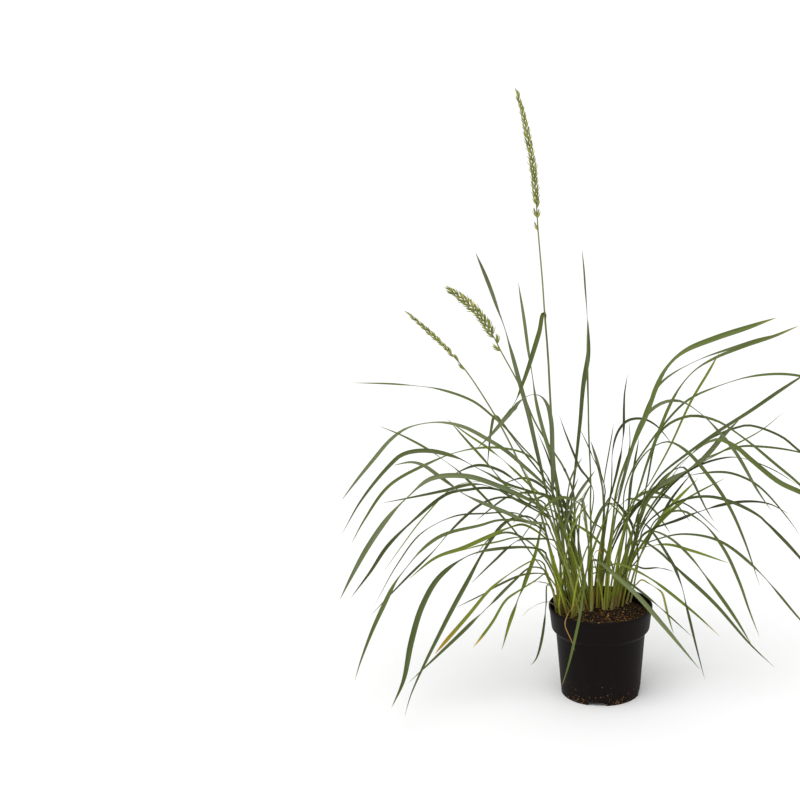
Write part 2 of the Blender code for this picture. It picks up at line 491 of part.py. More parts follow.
def make_pot():
    lip_foot = POT_HEIGHT - POT_LIP_HEIGHT
    profile = (
        (0.0, 0.0),
        (POT_FOOT_RADIUS - POT_FOOT_ROUND, 0.0),
        (POT_FOOT_RADIUS, POT_FOOT_ROUND),
        (SHOULDER_RADIUS, SHOULDER_HEIGHT),
        (COLLAR_FOOT_RADIUS, COLLAR_FOOT_HEIGHT),
        (inner_radius(lip_foot) + POT_WALL, lip_foot),
        (POT_RIM_RADIUS, lip_foot + POT_LIP_ROUND),
        (POT_RIM_RADIUS, POT_HEIGHT - POT_LIP_ROUND),
        (POT_RIM_RADIUS - POT_LIP_ROUND, POT_HEIGHT),
        (POT_RIM_RADIUS - POT_LIP, POT_HEIGHT),
        (inner_radius(lip_foot), lip_foot),
        (inner_radius(COLLAR_FOOT_HEIGHT), COLLAR_FOOT_HEIGHT),
        (inner_radius(SHOULDER_HEIGHT), SHOULDER_HEIGHT),
        (inner_radius(FLOOR_THICKNESS), FLOOR_THICKNESS),
        (0.0, FLOOR_THICKNESS),
    )
    pot = add_object("pot", *turned(profile, POT_SIDES), finish("black pot plastic", "1F1B1A", 0.42))
    for number, middle in enumerate(channel_angles()):
        block = channel_block(middle, CHANNEL_ROOF, POT_FOOT_RADIUS - POT_WALL / 2, FLOOR_THICKNESS / 2)
        join_in(pot, add_object(f"hump {number}", *block, helper=True), "UNION")
    for number, middle in enumerate(channel_angles()):
        block = channel_block(middle, 0.0, POT_FOOT_RADIUS + CHANNEL_PAST_WALL, -CHANNEL_PAST_WALL)
        join_in(pot, add_object(f"channel {number}", *block, helper=True), "DIFFERENCE")
        out = POT_FOOT_RADIUS - CHANNEL_LENGTH * DRAIN_HOLE_PLACE
        centre = Vector((math.cos(middle), math.sin(middle), 0.0)) * out
        bore = [centre + Vector((0.0, 0.0, z)) for z in (CHANNEL_HEIGHT / 2, CHANNEL_HEIGHT * 2)]
        drill = closed_tube(bore, [DRAIN_HOLE_RADIUS] * 2, DRAIN_HOLE_SIDES)
        join_in(pot, add_object(f"drain hole {number}", *drill, helper=True), "DIFFERENCE")
    return pot


def channel_angles():
    step = 2 * math.pi / CHANNEL_COUNT
    return [CHANNEL_FIRST_ANGLE + step * i for i in range(CHANNEL_COUNT)]


def channel_block(middle, grown, outer, low):
    half_angle = math.asin(CHANNEL_WIDTH / 2 / POT_FOOT_RADIUS) + grown / POT_FOOT_RADIUS
    inner = POT_FOOT_RADIUS - CHANNEL_LENGTH - grown
    return fan_block(middle, half_angle, inner, outer, low, CHANNEL_HEIGHT + grown)


def make_soil():
    top = inner_radius(SOIL_TOP)
    profile = (
        (0.0, FLOOR_THICKNESS + GAP),
        (inner_radius(FLOOR_THICKNESS) - GAP, FLOOR_THICKNESS + GAP),
        (inner_radius(SHOULDER_HEIGHT) - GAP, SHOULDER_HEIGHT),
        (inner_radius(COLLAR_FOOT_HEIGHT) - GAP, COLLAR_FOOT_HEIGHT),
        (top - GAP, SOIL_TOP),
        (top * SOIL_MIDDLE_RING, soil_height(top * SOIL_MIDDLE_RING, 0.0)),
        (0.0, SOIL_TOP + SOIL_CROWN_RISE),
    )
    soil = add_object("soil", *turned(profile, POT_SIDES), finish("potting soil", "2A1E16", 0.95))
    for number, middle in enumerate(channel_angles()):
        past_wall = POT_FOOT_RADIUS + CHANNEL_PAST_WALL
        block = channel_block(middle, CHANNEL_ROOF + GAP, past_wall, -CHANNEL_PAST_WALL)
        join_in(soil, add_object(f"room for hump {number}", *block, helper=True), "DIFFERENCE")
    return soil


def rooted(foot, towards):
    """The soil-level point of a foot, and the point where it ends in the soil."""
    x, y = foot[0] * CM, foot[1] * CM
    surface = Vector((x, y, soil_height(x, y)))
    return surface, surface - (towards - surface).normalized() * ROOTED_DEPTH


def socket(name, soil, rings, radius, sides):
    """The hole in the soil that a foot stands in, a gap wider than the foot all round."""
    along = (rings[1] - rings[0]).normalized()
    line = [rings[0] - along * GAP, rings[1]]
    tube = closed_tube(line, [radius + 2 * GAP] * 2, sides)
    join_in(soil, add_object(name + " socket", *tube, helper=True), "DIFFERENCE")


def sheath_line(foot, head):
    """The column of leaf sheaths, upright at first and then leaning out to its head."""
    top = seen(*head)
    surface = rooted(foot, top)[0]
    middle = surface.lerp(top, 0.5)
    lean = Vector((top.x - surface.x, top.y - surface.y, 0.0))
    middle -= lean * SHEATH_BOW
    end = rooted(foot, middle)[1]
    return smooth_line([end, surface, middle, top], SHEATH_RINGS * SHEATH_STEPS + 1)


def along_line(line, share):
    place = share * (len(line) - 1)
    low = min(int(place), len(line) - 2)
    return line[low].lerp(line[low + 1], place - low)


def reading_of(point):
    """Where the eye sees a point on the plane through the pot's axis, in metres."""
    return EYE + (point - EYE) * (-EYE.y / (point.y - EYE.y))


def blade_line(stem, row, count):
    """The midrib of a blade: out of its sheath, then through its readings."""
    leaves_at, _, tip_depth, readings = row
    start = along_line(stem, leaves_at)
    onward = (start - along_line(stem, leaves_at - 0.15)).normalized()
    ahead = start + onward * BLADE_FIRST_STEP
    run = run_along([reading_of(ahead)] + [Vector((r[0] * CM, 0.0, r[1] * CM)) for r in readings])
    known = [(0.0, ahead.y / CM)]
    known += [(run[i + 1], r[2]) for i, r in enumerate(readings[:-1]) if len(r) == 3]
    known.append((run[-1], tip_depth))
    points = [start, ahead]
    for reading, length in zip(readings, run[1:]):
        after = next(i for i, (at, _) in enumerate(known) if at >= length)
        (low, near), (high, far) = known[after - 1], known[after]
        depth = near + (far - near) * (length - low) / (high - low)
        points.append(seen(reading[0], reading[1], depth))
    return smooth_line(points, count)


def blade_rings(length):
    return max(BLADE_FEWEST_RINGS, min(BLADE_MOST_RINGS, round(length / BLADE_RING_EVERY)))


def blade_share(u):
    """A blade's width along its length: narrow in the sheath, parallel, then a long fine taper."""
    widened = min(1.0, u / BLADE_WIDENED_BY)
    share = BLADE_FOOT_SHARE + (1 - BLADE_FOOT_SHARE) * widened * widened * (3 - 2 * widened)
    if u > BLADE_FULL_UNTIL:
        share *= 1 - ((u - BLADE_FULL_UNTIL) / (1 - BLADE_FULL_UNTIL)) ** BLADE_TAPER_POWER
    return share


def blade_turns(number):
    """How far a blade's face is turned from lying flat, at its foot and at its tip."""
    foot = BLADE_LEAST_TURN + BLADE_TURN_RANGE * (number * 0.618 % 1)
    tip = BLADE_LEAST_TURN + BLADE_TURN_RANGE * ((number * 0.382 + 0.3) % 1)
    return math.radians(foot), math.radians(tip)


def blade_mesh(line, width, number):
    """A keeled blade: a flat face with a ridge under its midrib, ending in one tip point."""
    heading = Vector((line[-1].x - line[0].x, line[-1].y - line[0].y, 0.0)).normalized()
    sideways = Vector((heading.y, -heading.x, 0.0))
    if sideways.y > 0:
        sideways = -sideways
    foot_turn, tip_turn = blade_turns(number)
    points = []
    for i, centre in enumerate(line[:-1]):
        u = i / (len(line) - 1)
        along = (line[i + 1] - line[max(i - 1, 0)]).normalized()
        turn = foot_turn + (tip_turn - foot_turn) * u
        face = Vector((0.0, 0.0, math.cos(turn))) + sideways * math.sin(turn)
        face = (face - along * face.dot(along)).normalized()
        edge = along.cross(face)
        half = width * blade_share(u) / 2
        keel = max(BLADE_KEEL * width * blade_share(u), BLADE_LEAST_KEEL)
        points += [centre + edge * half, centre - edge * half, centre - face * keel]
    points.append(line[-1])
    faces = wrapped_faces(len(line) - 1, 3)[:-1]
    last = 3 * (len(line) - 2)
    faces += [(last + side, last + (side + 1) % 3, len(points) - 1) for side in range(3)]
    return points, faces


def join_blade(thing, stem, row, number):
    """One blade, grown together with its shoot or stalk."""
    count = blade_rings(run_along(blade_line(stem, row, BLADE_MOST_RINGS * 2))[-1])
    shape = blade_mesh(blade_line(stem, row, count), row[1] * CM, number)
    join_in(thing, add_object(f"{thing.name} blade {number}", *shape, helper=True), "UNION")


def make_shoots(soil):
    number = 0
    for i, (foot, head, rows) in enumerate(SHOOTS):
        name = f"shoot_{i + 1:02d}"
        line = sheath_line(foot, head)
        rings = line[::SHEATH_STEPS]
        radii = [
            SHEATH_FOOT_RADIUS + (SHEATH_HEAD_RADIUS - SHEATH_FOOT_RADIUS) * ring / (len(rings) - 1)
            for ring in range(len(rings))
        ]
        colour = LEAF_COLOURS[number % len(LEAF_COLOURS)]
        shape = closed_tube(rings, radii, SHEATH_SIDES)
        shoot = add_object(name, *shape, finish(name + " leaf", colour, 0.5))
        socket(name, soil, rings, SHEATH_FOOT_RADIUS, SHEATH_SIDES)
        for row in rows:
            join_blade(shoot, line, row, number)
            number += 1
    return number


def stalk_points(row):
    """The foot of a culm in the soil, then its points up to the spike, then the spike's own."""
    foot, culm, spike_depth, spike, tip_depth, _, _ = row
    depths = [foot[1] + (spike_depth - foot[1]) * (i + 1) / len(culm) for i in range(len(culm))]
    lower = [seen(*reading, depth) for reading, depth in zip(culm, depths)]
    depths = [spike_depth + (tip_depth - spike_depth) * (i + 1) / len(spike) for i in range(len(spike))]
    upper = [seen(*reading, depth) for reading, depth in zip(spike, depths)]
    surface, end = rooted(foot, lower[0])
    return [end, surface, *lower], upper


def stalk_line(row):
    """Evenly spaced points up a whole stalk, and how many of them are below its spike."""
    lower, upper = stalk_points(row)
    line = smooth_line(lower + upper, STALK_POINTS)
    below = min(range(len(line)), key=lambda i: (line[i] - lower[-1]).length)
    return line, below


def stalk_radius(i, below, count):
    if i <= below:
        return CULM_FOOT_RADIUS + (CULM_HEAD_RADIUS - CULM_FOOT_RADIUS) * i / below
    return CULM_HEAD_RADIUS + (RACHIS_TIP_RADIUS - CULM_HEAD_RADIUS) * (i - below) / (count - 1 - below)


def spikelet(foot, along, side, width, length):
    """A pointed four-sided husk that leans out from the rachis to one side."""
    front = along.cross(side)
    lean = math.asin(SPIKELET_REACH * width / length)
    onward = along * math.cos(lean) + side * math.sin(lean)
    outward = side * math.cos(lean) - along * math.sin(lean)
    middle = foot + onward * length * SPIKELET_WIDEST
    half = width * SPIKELET_FATNESS
    points = [foot - onward * SPIKELET_SUNK]
    points += [middle + outward * half, middle + front * SPIKELET_THICKNESS / 2]
    points += [middle - outward * half, middle - front * SPIKELET_THICKNESS / 2, foot + onward * length]
    faces = [(0, 1 + (i + 1) % 4, 1 + i) for i in range(4)]
    faces += [(5, 1 + i, 1 + (i + 1) % 4) for i in range(4)]
    return points, faces


def make_stalks(soil, number):
    """The flower stalks, whose leaves are numbered on from the shoots' blades."""
    for i, row in enumerate(STALKS):
        name = f"flower_stalk_{i + 1}"
        line, below = stalk_line(row)
        rings = line[::STALK_RING_STEP]
        radii = [stalk_radius(j, below, len(line)) for j in range(0, len(line), STALK_RING_STEP)]
        shape = closed_tube(rings, radii, CULM_SIDES)
        stalk = add_object(name, *shape, finish(name + " straw", "8A9061", 0.6))
        socket(name, soil, rings, CULM_FOOT_RADIUS, CULM_SIDES)
        join_spikelets(stalk, line, below, row[5])
        for leaf in row[6]:
            join_blade(stalk, line[:below + 1], leaf, number)
            number += 1


def join_spikelets(stalk, line, below, width):
    lengths = run_along(line)
    count = int((lengths[-1] - lengths[below]) / SPIKELET_PITCH)
    for number in range(count):
        place = (lengths[below] + number * SPIKELET_PITCH) / lengths[-1]
        foot = along_line(line, place)
        along = (along_line(line, place + 0.01) - foot).normalized()
        side = along.cross(EYE - foot).normalized() * (1 if number % 2 else -1)
        shape = spikelet(foot, along, side, width, SPIKELET_LENGTH)
        join_in(stalk, add_object(f"{stalk.name} husk {number}", *shape, helper=True), "UNION")


def main():
    clear_scene()
    pot = make_pot()
    soil = make_soil()
    number = make_shoots(soil)
    make_stalks(soil, number)
    for thing in (pot, soil):
        thing.data.shade_smooth()
        thing.data.set_sharp_from_angle(angle=math.radians(35.0))


main()
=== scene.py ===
"""Looks of a potted blue lyme grass: a clump of grass shoots and three flower stalks in a nursery pot."""

import math
import random

import bpy
from mathutils import Matrix, Vector, noise
from mathutils.geometry import interpolate_bezier


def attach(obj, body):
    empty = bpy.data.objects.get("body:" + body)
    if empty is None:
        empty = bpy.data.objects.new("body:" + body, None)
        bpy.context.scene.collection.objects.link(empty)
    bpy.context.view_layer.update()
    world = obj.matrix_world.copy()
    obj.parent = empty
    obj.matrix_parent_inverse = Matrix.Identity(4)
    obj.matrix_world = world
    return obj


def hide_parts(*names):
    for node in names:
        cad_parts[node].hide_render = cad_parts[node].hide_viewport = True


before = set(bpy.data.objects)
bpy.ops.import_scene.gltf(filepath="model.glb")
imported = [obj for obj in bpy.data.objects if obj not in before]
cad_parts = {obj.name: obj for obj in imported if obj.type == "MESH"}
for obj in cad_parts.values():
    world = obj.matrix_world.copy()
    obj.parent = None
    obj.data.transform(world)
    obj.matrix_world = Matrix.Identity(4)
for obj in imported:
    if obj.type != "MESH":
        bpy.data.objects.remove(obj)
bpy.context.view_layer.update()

MM = 0.001
CM = 0.01

# Camera. A long lens at chest height, 3 m in front of the pot, looking down at the pot and turned a
# little to the left of it, as the photograph was taken.
eye = Vector((0.0, -3.0, 1.343))
camera_pitch = math.radians(15.66)
camera_pan = math.radians(5.90)
camera = bpy.data.objects.new("camera", bpy.data.cameras.new("camera"))
camera.data.lens = 87.3
camera.data.sensor_width = 36.0
camera.data.clip_end = 100.0
camera.matrix_world = (
    Matrix.Translation(eye)
    @ Matrix.Rotation(math.radians(90.0) - camera_pitch, 4, "X")
    @ Matrix.Rotation(camera_pan, 4, "Y")
)
bpy.context.scene.collection.objects.link(camera)
bpy.context.scene.camera = camera


# Floor and light. A matt white photographic sweep lit evenly from all round, with one very large soft
# light high over the left shoulder of the camera, so that only the foot of the pot has a grey shadow.
def linear(hex_colour):
    """An sRGB hex value as linear colour with full alpha."""
    channels = [int(hex_colour[i:i + 2], 16) / 255 for i in (0, 2, 4)]
    return (*[c / 12.92 if c <= 0.04045 else ((c + 0.055) / 1.055) ** 2.4 for c in channels], 1.0)


def add_node(tree, kind, settings=None, **links):
    """A shader node with its settings. A link is a value, or the output that feeds the input."""
    made = tree.nodes.new(kind)
    for name, value in (settings or {}).items():
        setattr(made, name, value)
    for name, value in links.items():
        socket = made.inputs[int(name[1:]) if name[1:].isdigit() else name.replace("_", " ")]
        if isinstance(value, bpy.types.NodeSocket):
            tree.links.new(value, socket)
        else:
            socket.default_value = value
    return made


def new_material(name):
    """A material with its tree and its Principled shader, the node that its surface ends in."""
    material = bpy.data.materials.new(name)
    material.use_nodes = True
    return material, material.node_tree, material.node_tree.nodes["Principled BSDF"]


sweep_paper, tree, shader = new_material("matt white paper sweep")
shader.inputs["Base Color"].default_value = linear("F4F4F4")
shader.inputs["Roughness"].default_value = 0.95
shader.inputs["Specular IOR Level"].default_value = 0.1

bpy.ops.mesh.primitive_plane_add(size=60.0, location=(0.0, 0.0, 0.0))
floor = bpy.context.object
floor.name = "floor"
floor.data.materials.append(sweep_paper)

sky = bpy.data.worlds.new("even white room")
sky.use_nodes = True
sky.node_tree.nodes["Background"].inputs["Color"].default_value = (1.0, 1.0, 1.0, 1.0)
sky.node_tree.nodes["Background"].inputs["Strength"].default_value = 0.76
bpy.context.scene.world = sky

soft_light = bpy.data.objects.new("soft light", bpy.data.lights.new("soft light", "SUN"))
soft_light.data.angle = math.radians(50.0)
soft_light.data.energy = 1.46
soft_light.rotation_euler = Vector((0.20, 0.38, -1.0)).to_track_quat("-Z", "Y").to_euler()
bpy.context.scene.collection.objects.link(soft_light)
bpy.context.scene.view_settings.view_transform = "Standard"


# Pot. A thin-walled black polypropylene nursery pot, injection moulded in one piece: a flat foot with
# four drainage channels let into its edge, a tapered wall, a stepped collar and a thickened lip.
pot_height = 153 * MM
pot_wall = 1.6 * MM
pot_floor = 2.0 * MM
lip_height = 6.0 * MM
lip_inside = 82.4 * MM
wall_stations = ((0.0, 65 * MM), (107 * MM, 73.2 * MM), (115 * MM, 80.5 * MM), (153 * MM, 85 * MM))
pot_sides = 192
channel_count = 4
channel_first = math.radians(-95.0)
channel_half_width = 14.5 * MM
channel_length = 25 * MM
channel_height = 6 * MM
channel_edge = 1.6 * MM
lifted_below = 16 * MM
drain_hole_radius = 4 * MM


def outer_radius(height):
    for (low, small), (high, wide) in zip(wall_stations, wall_stations[1:]):
        if height <= high:
            return small + (wide - small) * (height - low) / (high - low)
    return wall_stations[-1][1]


def eased(share):
    """0 to 1 with soft ends, held at both."""
    share = min(1.0, max(0.0, share))
    return share * share * (3 - 2 * share)


def softened(outline, steps=4):
    """An outline of (radius, height, rounding) corners with each corner turned into a small curve."""
    made = []
    for i, (radius, height, rounding) in enumerate(outline):
        corner = Vector((radius, height))
        if rounding == 0:
            made.append(corner)
            continue
        before = Vector(outline[i - 1][:2]) - corner
        after = Vector(outline[i + 1][:2]) - corner
        start = corner + before.normalized() * rounding
        end = corner + after.normalized() * rounding
        for step in range(steps + 1):
            share = step / steps
            made.append(start.lerp(corner, share).lerp(corner.lerp(end, share), share))
    return made


def channel_lift(x, y):
    """How far a drainage channel lifts the pot's floor at this place."""
    lift = 0.0
    for number in range(channel_count):
        angle = channel_first + number * 2 * math.pi / channel_count
        outward = x * math.cos(angle) + y * math.sin(angle)
        sideways = abs(y * math.cos(angle) - x * math.sin(angle))
        beside = eased((channel_half_width - sideways) / channel_edge)
        inward = eased((outward - (outer_radius(0.0) - channel_length)) / channel_edge)
        lift = max(lift, channel_height * beside * inward)
    return lift


def lathed(outline, sides):
    """Points and faces of a solid turned from an outline that starts and ends on the axis."""
    points = [Vector((0.0, 0.0, outline[0].y))]
    for station in outline[1:-1]:
        for side in range(sides):
            angle = 2 * math.pi * side / sides
            points.append(Vector((station.x * math.cos(angle), station.x * math.sin(angle), station.y)))
    points.append(Vector((0.0, 0.0, outline[-1].y)))
    last_ring = 1 + (len(outline) - 3) * sides
    faces = []
    for side in range(sides):
        following = (side + 1) % sides
        faces.append((0, 1 + following, 1 + side))
        faces.append((last_ring + side, last_ring + following, len(points) - 1))
        for low in range(1, last_ring, sides):
            faces.append((low + side, low + following, low + sides + following, low + sides + side))
    return points, faces


def add_piece(name, points, faces, material, replaced=(), sharp_above=40.0):
    """A smooth shaded mesh that rides with the pot and takes its finish from the slot."""
    mesh = bpy.data.meshes.new(name)
    mesh.from_pydata([tuple(p) for p in points], [], faces)
    mesh.materials.append(material)
    mesh.shade_smooth()
    mesh.set_sharp_from_angle(angle=math.radians(sharp_above))
    piece = bpy.data.objects.new(name, mesh)
    bpy.context.scene.collection.objects.link(piece)
    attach(piece, "root")
    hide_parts(*replaced)
    return piece


# Black polypropylene, moulded in a finely blasted tool: satin, with a fine even grain, a brown film of
# dried soil dust towards the foot, water runs down the wall and raised pale tan specks near the foot.
pot_plastic, tree, shader = new_material("moulded black polypropylene")
place = add_node(tree, "ShaderNodeTexCoord").outputs["Object"]
height = add_node(tree, "ShaderNodeSeparateXYZ", Vector=place).outputs["Z"]
near_foot = add_node(
    tree, "ShaderNodeMapRange", {"interpolation_type": "SMOOTHSTEP"},
    Value=height, From_Min=70 * MM, From_Max=0.0, To_Min=0.06, To_Max=0.5,
).outputs["Result"]
film = add_node(tree, "ShaderNodeTexNoise", Vector=place, Scale=1 / (22 * MM), Detail=8.0, Roughness=0.68)
runs_place = add_node(tree, "ShaderNodeMapping", Vector=place, Scale=(1 / (5 * MM), 1 / (5 * MM), 1 / (90 * MM)))
runs = add_node(tree, "ShaderNodeTexNoise", Vector=runs_place.outputs["Vector"], Scale=1.0, Detail=3.0)
film_and_runs = add_node(
    tree, "ShaderNodeMath", {"operation": "MULTIPLY"}, _0=film.outputs["Fac"], _1=runs.outputs["Fac"],
).outputs["Value"]
dusty = add_node(
    tree, "ShaderNodeMapRange", Value=film_and_runs, From_Min=0.2, From_Max=0.42, To_Min=0.1, To_Max=1.0,
).outputs["Result"]
dust = add_node(tree, "ShaderNodeMath", {"operation": "MULTIPLY"}, _0=dusty, _1=near_foot).outputs["Value"]
specks = add_node(tree, "ShaderNodeTexVoronoi", Vector=place, Scale=1 / (4.5 * MM), Randomness=1.0)
speck = add_node(
    tree, "ShaderNodeMapRange", Value=specks.outputs["Distance"], From_Min=0.13, From_Max=0.07,
    To_Min=0.0, To_Max=0.8,
).outputs["Result"]
chosen = add_node(
    tree, "ShaderNodeMath", {"operation": "GREATER_THAN"}, _0=specks.outputs["Color"], _1=0.6,
).outputs["Value"]
speck = add_node(tree, "ShaderNodeMath", {"operation": "MULTIPLY"}, _0=speck, _1=chosen).outputs["Value"]
speck = add_node(tree, "ShaderNodeMath", {"operation": "MULTIPLY"}, _0=speck, _1=near_foot).outputs["Value"]
bare = add_node(
    tree, "ShaderNodeMix", {"data_type": "RGBA"}, _0=dust, _6=linear("130F0E"), _7=linear("291E18"),
).outputs[2]
coloured = add_node(
    tree, "ShaderNodeMix", {"data_type": "RGBA"}, _0=speck, _6=bare, _7=linear("B58A55"),
).outputs[2]
tree.links.new(coloured, shader.inputs["Base Color"])
rough = add_node(tree, "ShaderNodeMapRange", Value=dust, To_Min=0.48, To_Max=0.9).outputs["Result"]
tree.links.new(rough, shader.inputs["Roughness"])
shader.inputs["Specular IOR Level"].default_value = 0.05
grain = add_node(tree, "ShaderNodeTexNoise", Vector=place, Scale=1 / (0.7 * MM), Detail=2.0)
relief = add_node(tree, "ShaderNodeBump", Strength=0.12, Distance=0.1 * MM, Height=grain.outputs["Fac"])
relief = add_node(
    tree, "ShaderNodeBump", Strength=0.6, Distance=0.4 * MM, Height=speck, Normal=relief.outputs["Normal"],
)
tree.links.new(relief.outputs["Normal"], shader.inputs["Normal"])

lip_foot = pot_height - lip_height
outline = [(0.0, 0.0, 0.0)]
outline += [(radius * MM, 0.0, 0.0) for radius in (20, 34, 38, 39, 40, 41, 42, 46, 52, 58, 62)]
outline += [(outer_radius(0.0), 0.0, 1.2 * MM)]
outline += [(outer_radius(z * MM), z * MM, 0.0) for z in (3, 5, 8, 12, 16, 40, 75)]
outline += [(outer_radius(107 * MM), 107 * MM, 0.7 * MM), (outer_radius(115 * MM), 115 * MM, 1.6 * MM)]
outline += [(outer_radius(lip_foot) - 0.2 * MM, lip_foot, 0.6 * MM), (outer_radius(pot_height), lip_foot, 0.7 * MM)]
outline += [(outer_radius(pot_height), pot_height, 1.0 * MM), (lip_inside, pot_height, 1.0 * MM)]
outline += [(outer_radius(lip_foot) - pot_wall, lip_foot, 1.2 * MM)]
outline += [(outer_radius(115 * MM) - pot_wall, 115 * MM, 1.5 * MM)]
outline += [(outer_radius(107 * MM) - pot_wall, 107 * MM, 1.5 * MM)]
outline += [(outer_radius(z * MM) - pot_wall, z * MM, 0.0) for z in (75, 40, 16, 12, 8, 5)]
outline += [(outer_radius(pot_floor) - pot_wall, pot_floor, 1.0 * MM)]
outline += [(radius * MM, pot_floor, 0.0) for radius in (60, 52, 46, 42, 41, 40, 39, 38, 34, 20)]
outline += [(0.0, pot_floor, 0.0)]
points, faces = lathed(softened(outline), pot_sides)
for point in points:
    point.z += channel_lift(point.x, point.y) * max(0.0, 1 - point.z / lifted_below)
pot = add_piece("nursery_pot", points, faces, pot_plastic, ["pot"])

for number in range(channel_count):
    angle = channel_first + number * 2 * math.pi / channel_count
    out = outer_radius(0.0) - channel_length * 0.6
    bpy.ops.mesh.primitive_cylinder_add(
        vertices=24, radius=drain_hole_radius, depth=4 * channel_height,
        location=(out * math.cos(angle), out * math.sin(angle), 0.0),
    )
    drill = bpy.context.object
    drill.name = f"drain_hole_cutter_{number + 1}"
    drill.hide_render = True
    drill.hide_viewport = True
    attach(drill, "root")
    cut = pot.modifiers.new(f"drain hole {number + 1}", "BOOLEAN")
    cut.operation = "DIFFERENCE"
    cut.object = drill


# Soil. Moist peat compost with bark, filled to two centimetres below the rim and pushed up a little by
# the roots in the middle. It is one crumbly surface with loose crumbs and bark chips lying on it.
soil_top = 134 * MM
soil_crown = 4 * MM
soil_bottom = channel_height + 2.5 * MM
soil_rings = 46
soil_sides = 160
clod_size = 9 * MM
clod_rise = 2.6 * MM


def soil_height(x, y):
    share = (x * x + y * y) / (outer_radius(soil_top) - pot_wall) ** 2
    return soil_top + soil_crown * (1.0 - share)


def crumbly_height(x, y):
    """The soil's height with its clods."""
    spot = Vector((x, y, 0.0)) / clod_size
    clods = noise.noise(spot) + 0.5 * noise.noise(spot * 2.3) + 0.3 * noise.noise(spot * 5.1)
    return soil_height(x, y) + clod_rise * (clods - 0.3)


# Peat compost: matt and nearly black where it is wet, red-brown where it has dried, with pale flecks of
# bark fibre.
compost, tree, shader = new_material("moist peat compost")
place = add_node(tree, "ShaderNodeTexCoord").outputs["Object"]
patches = add_node(tree, "ShaderNodeTexNoise", Vector=place, Scale=1 / (11 * MM), Detail=6.0, Roughness=0.7)
crumbs = add_node(tree, "ShaderNodeTexVoronoi", Vector=place, Scale=1 / (1.6 * MM))
dried = add_node(
    tree, "ShaderNodeMapRange", Value=patches.outputs["Fac"], From_Min=0.42, From_Max=0.68,
).outputs["Result"]
brown = add_node(
    tree, "ShaderNodeMix", {"data_type": "RGBA"}, _0=dried, _6=linear("120C05"), _7=linear("40260E"),
).outputs[2]
fleck = add_node(
    tree, "ShaderNodeMath", {"operation": "GREATER_THAN"}, _0=crumbs.outputs["Color"], _1=0.82,
).outputs["Value"]
flecked = add_node(
    tree, "ShaderNodeMix", {"data_type": "RGBA"}, _0=fleck, _6=brown, _7=linear("8A6420"),
).outputs[2]
tree.links.new(flecked, shader.inputs["Base Color"])
shader.inputs["Roughness"].default_value = 0.95
shader.inputs["Specular IOR Level"].default_value = 0.25
relief = add_node(
    tree, "ShaderNodeBump", Strength=0.9, Distance=0.8 * MM, Height=crumbs.outputs["Distance"],
)
tree.links.new(relief.outputs["Normal"], shader.inputs["Normal"])

soil_edge = outer_radius(soil_top) - pot_wall - 0.3 * MM
outline = [(0.0, soil_bottom, 0.0), (outer_radius(soil_bottom) - pot_wall - 0.3 * MM, soil_bottom, 0.0)]
outline += [(outer_radius(z * MM) - pot_wall - 0.3 * MM, z * MM, 0.0) for z in (107, 115, 133)]
outline += [(soil_edge * (1 - ring / soil_rings), soil_top, 0.0) for ring in range(soil_rings)]
outline += [(0.0, soil_top, 0.0)]
points, faces = lathed(softened(outline), soil_sides)
for point in points:
    if point.z >= soil_top:
        point.z = crumbly_height(point.x, point.y)
soil = add_piece("potting_soil", points, faces, compost, ["soil"], sharp_above=60.0)


def lump(centre, size, stretch, draw):
    """Points and faces of an irregular crumb of twenty faces."""
    gold = (1 + math.sqrt(5)) / 2
    corners = [
        Vector(corner) for a in (-1, 1) for b in (-gold, gold)
        for corner in ((a, b, 0), (0, a, b), (b, 0, a))
    ]
    turn = Matrix.Rotation(draw.uniform(0, math.pi), 3, "Z") @ Matrix.Rotation(draw.uniform(-0.5, 0.5), 3, "X")
    points = []
    for corner in corners:
        shaped = Vector(corner[i] * stretch[i] * draw.uniform(0.7, 1.15) for i in range(3))
        points.append(centre + turn @ shaped * size / 4)
    faces = []
    for i in range(12):
        for j in range(i + 1, 12):
            for k in range(j + 1, 12):
                sides = ((corners[i] - corners[j]).length, (corners[j] - corners[k]).length)
                if max(*sides, (corners[k] - corners[i]).length) > 2.01:
                    continue
                outward = (corners[j] - corners[i]).cross(corners[k] - corners[i]).dot(corners[i])
                faces.append((i, j, k) if outward > 0 else (i, k, j))
    return points, faces


# Bark, peat fibre and dry compost: each crumb has its own colour, from the tint stored on its corners.
bark_mix, tree, shader = new_material("composted bark and fibre")
tint = add_node(tree, "ShaderNodeAttribute", {"attribute_name": "tint"}).outputs["Color"]
place = add_node(tree, "ShaderNodeTexCoord").outputs["Object"]
mottle = add_node(tree, "ShaderNodeTexNoise", Vector=place, Scale=1 / (1.2 * MM), Detail=4.0)
shade = add_node(
    tree, "ShaderNodeMapRange", Value=mottle.outputs["Fac"], From_Min=0.3, From_Max=0.7, To_Min=0.45, To_Max=1.2,
).outputs["Result"]
coloured = add_node(
    tree, "ShaderNodeMix", {"data_type": "RGBA", "blend_type": "MULTIPLY"}, _0=1.0, _6=tint, _7=shade,
).outputs[2]
tree.links.new(coloured, shader.inputs["Base Color"])
shader.inputs["Roughness"].default_value = 0.9
shader.inputs["Specular IOR Level"].default_value = 0.25
relief = add_node(tree, "ShaderNodeBump", Strength=0.5, Distance=0.3 * MM, Height=mottle.outputs["Fac"])
tree.links.new(relief.outputs["Normal"], shader.inputs["Normal"])


def add_tints(piece, tints):
    """Stores a colour for each of the mesh's points."""
    layer = piece.data.attributes.new("tint", "FLOAT_COLOR", "POINT")
    layer.data.foreach_set("color", [channel for colour in tints for channel in colour])


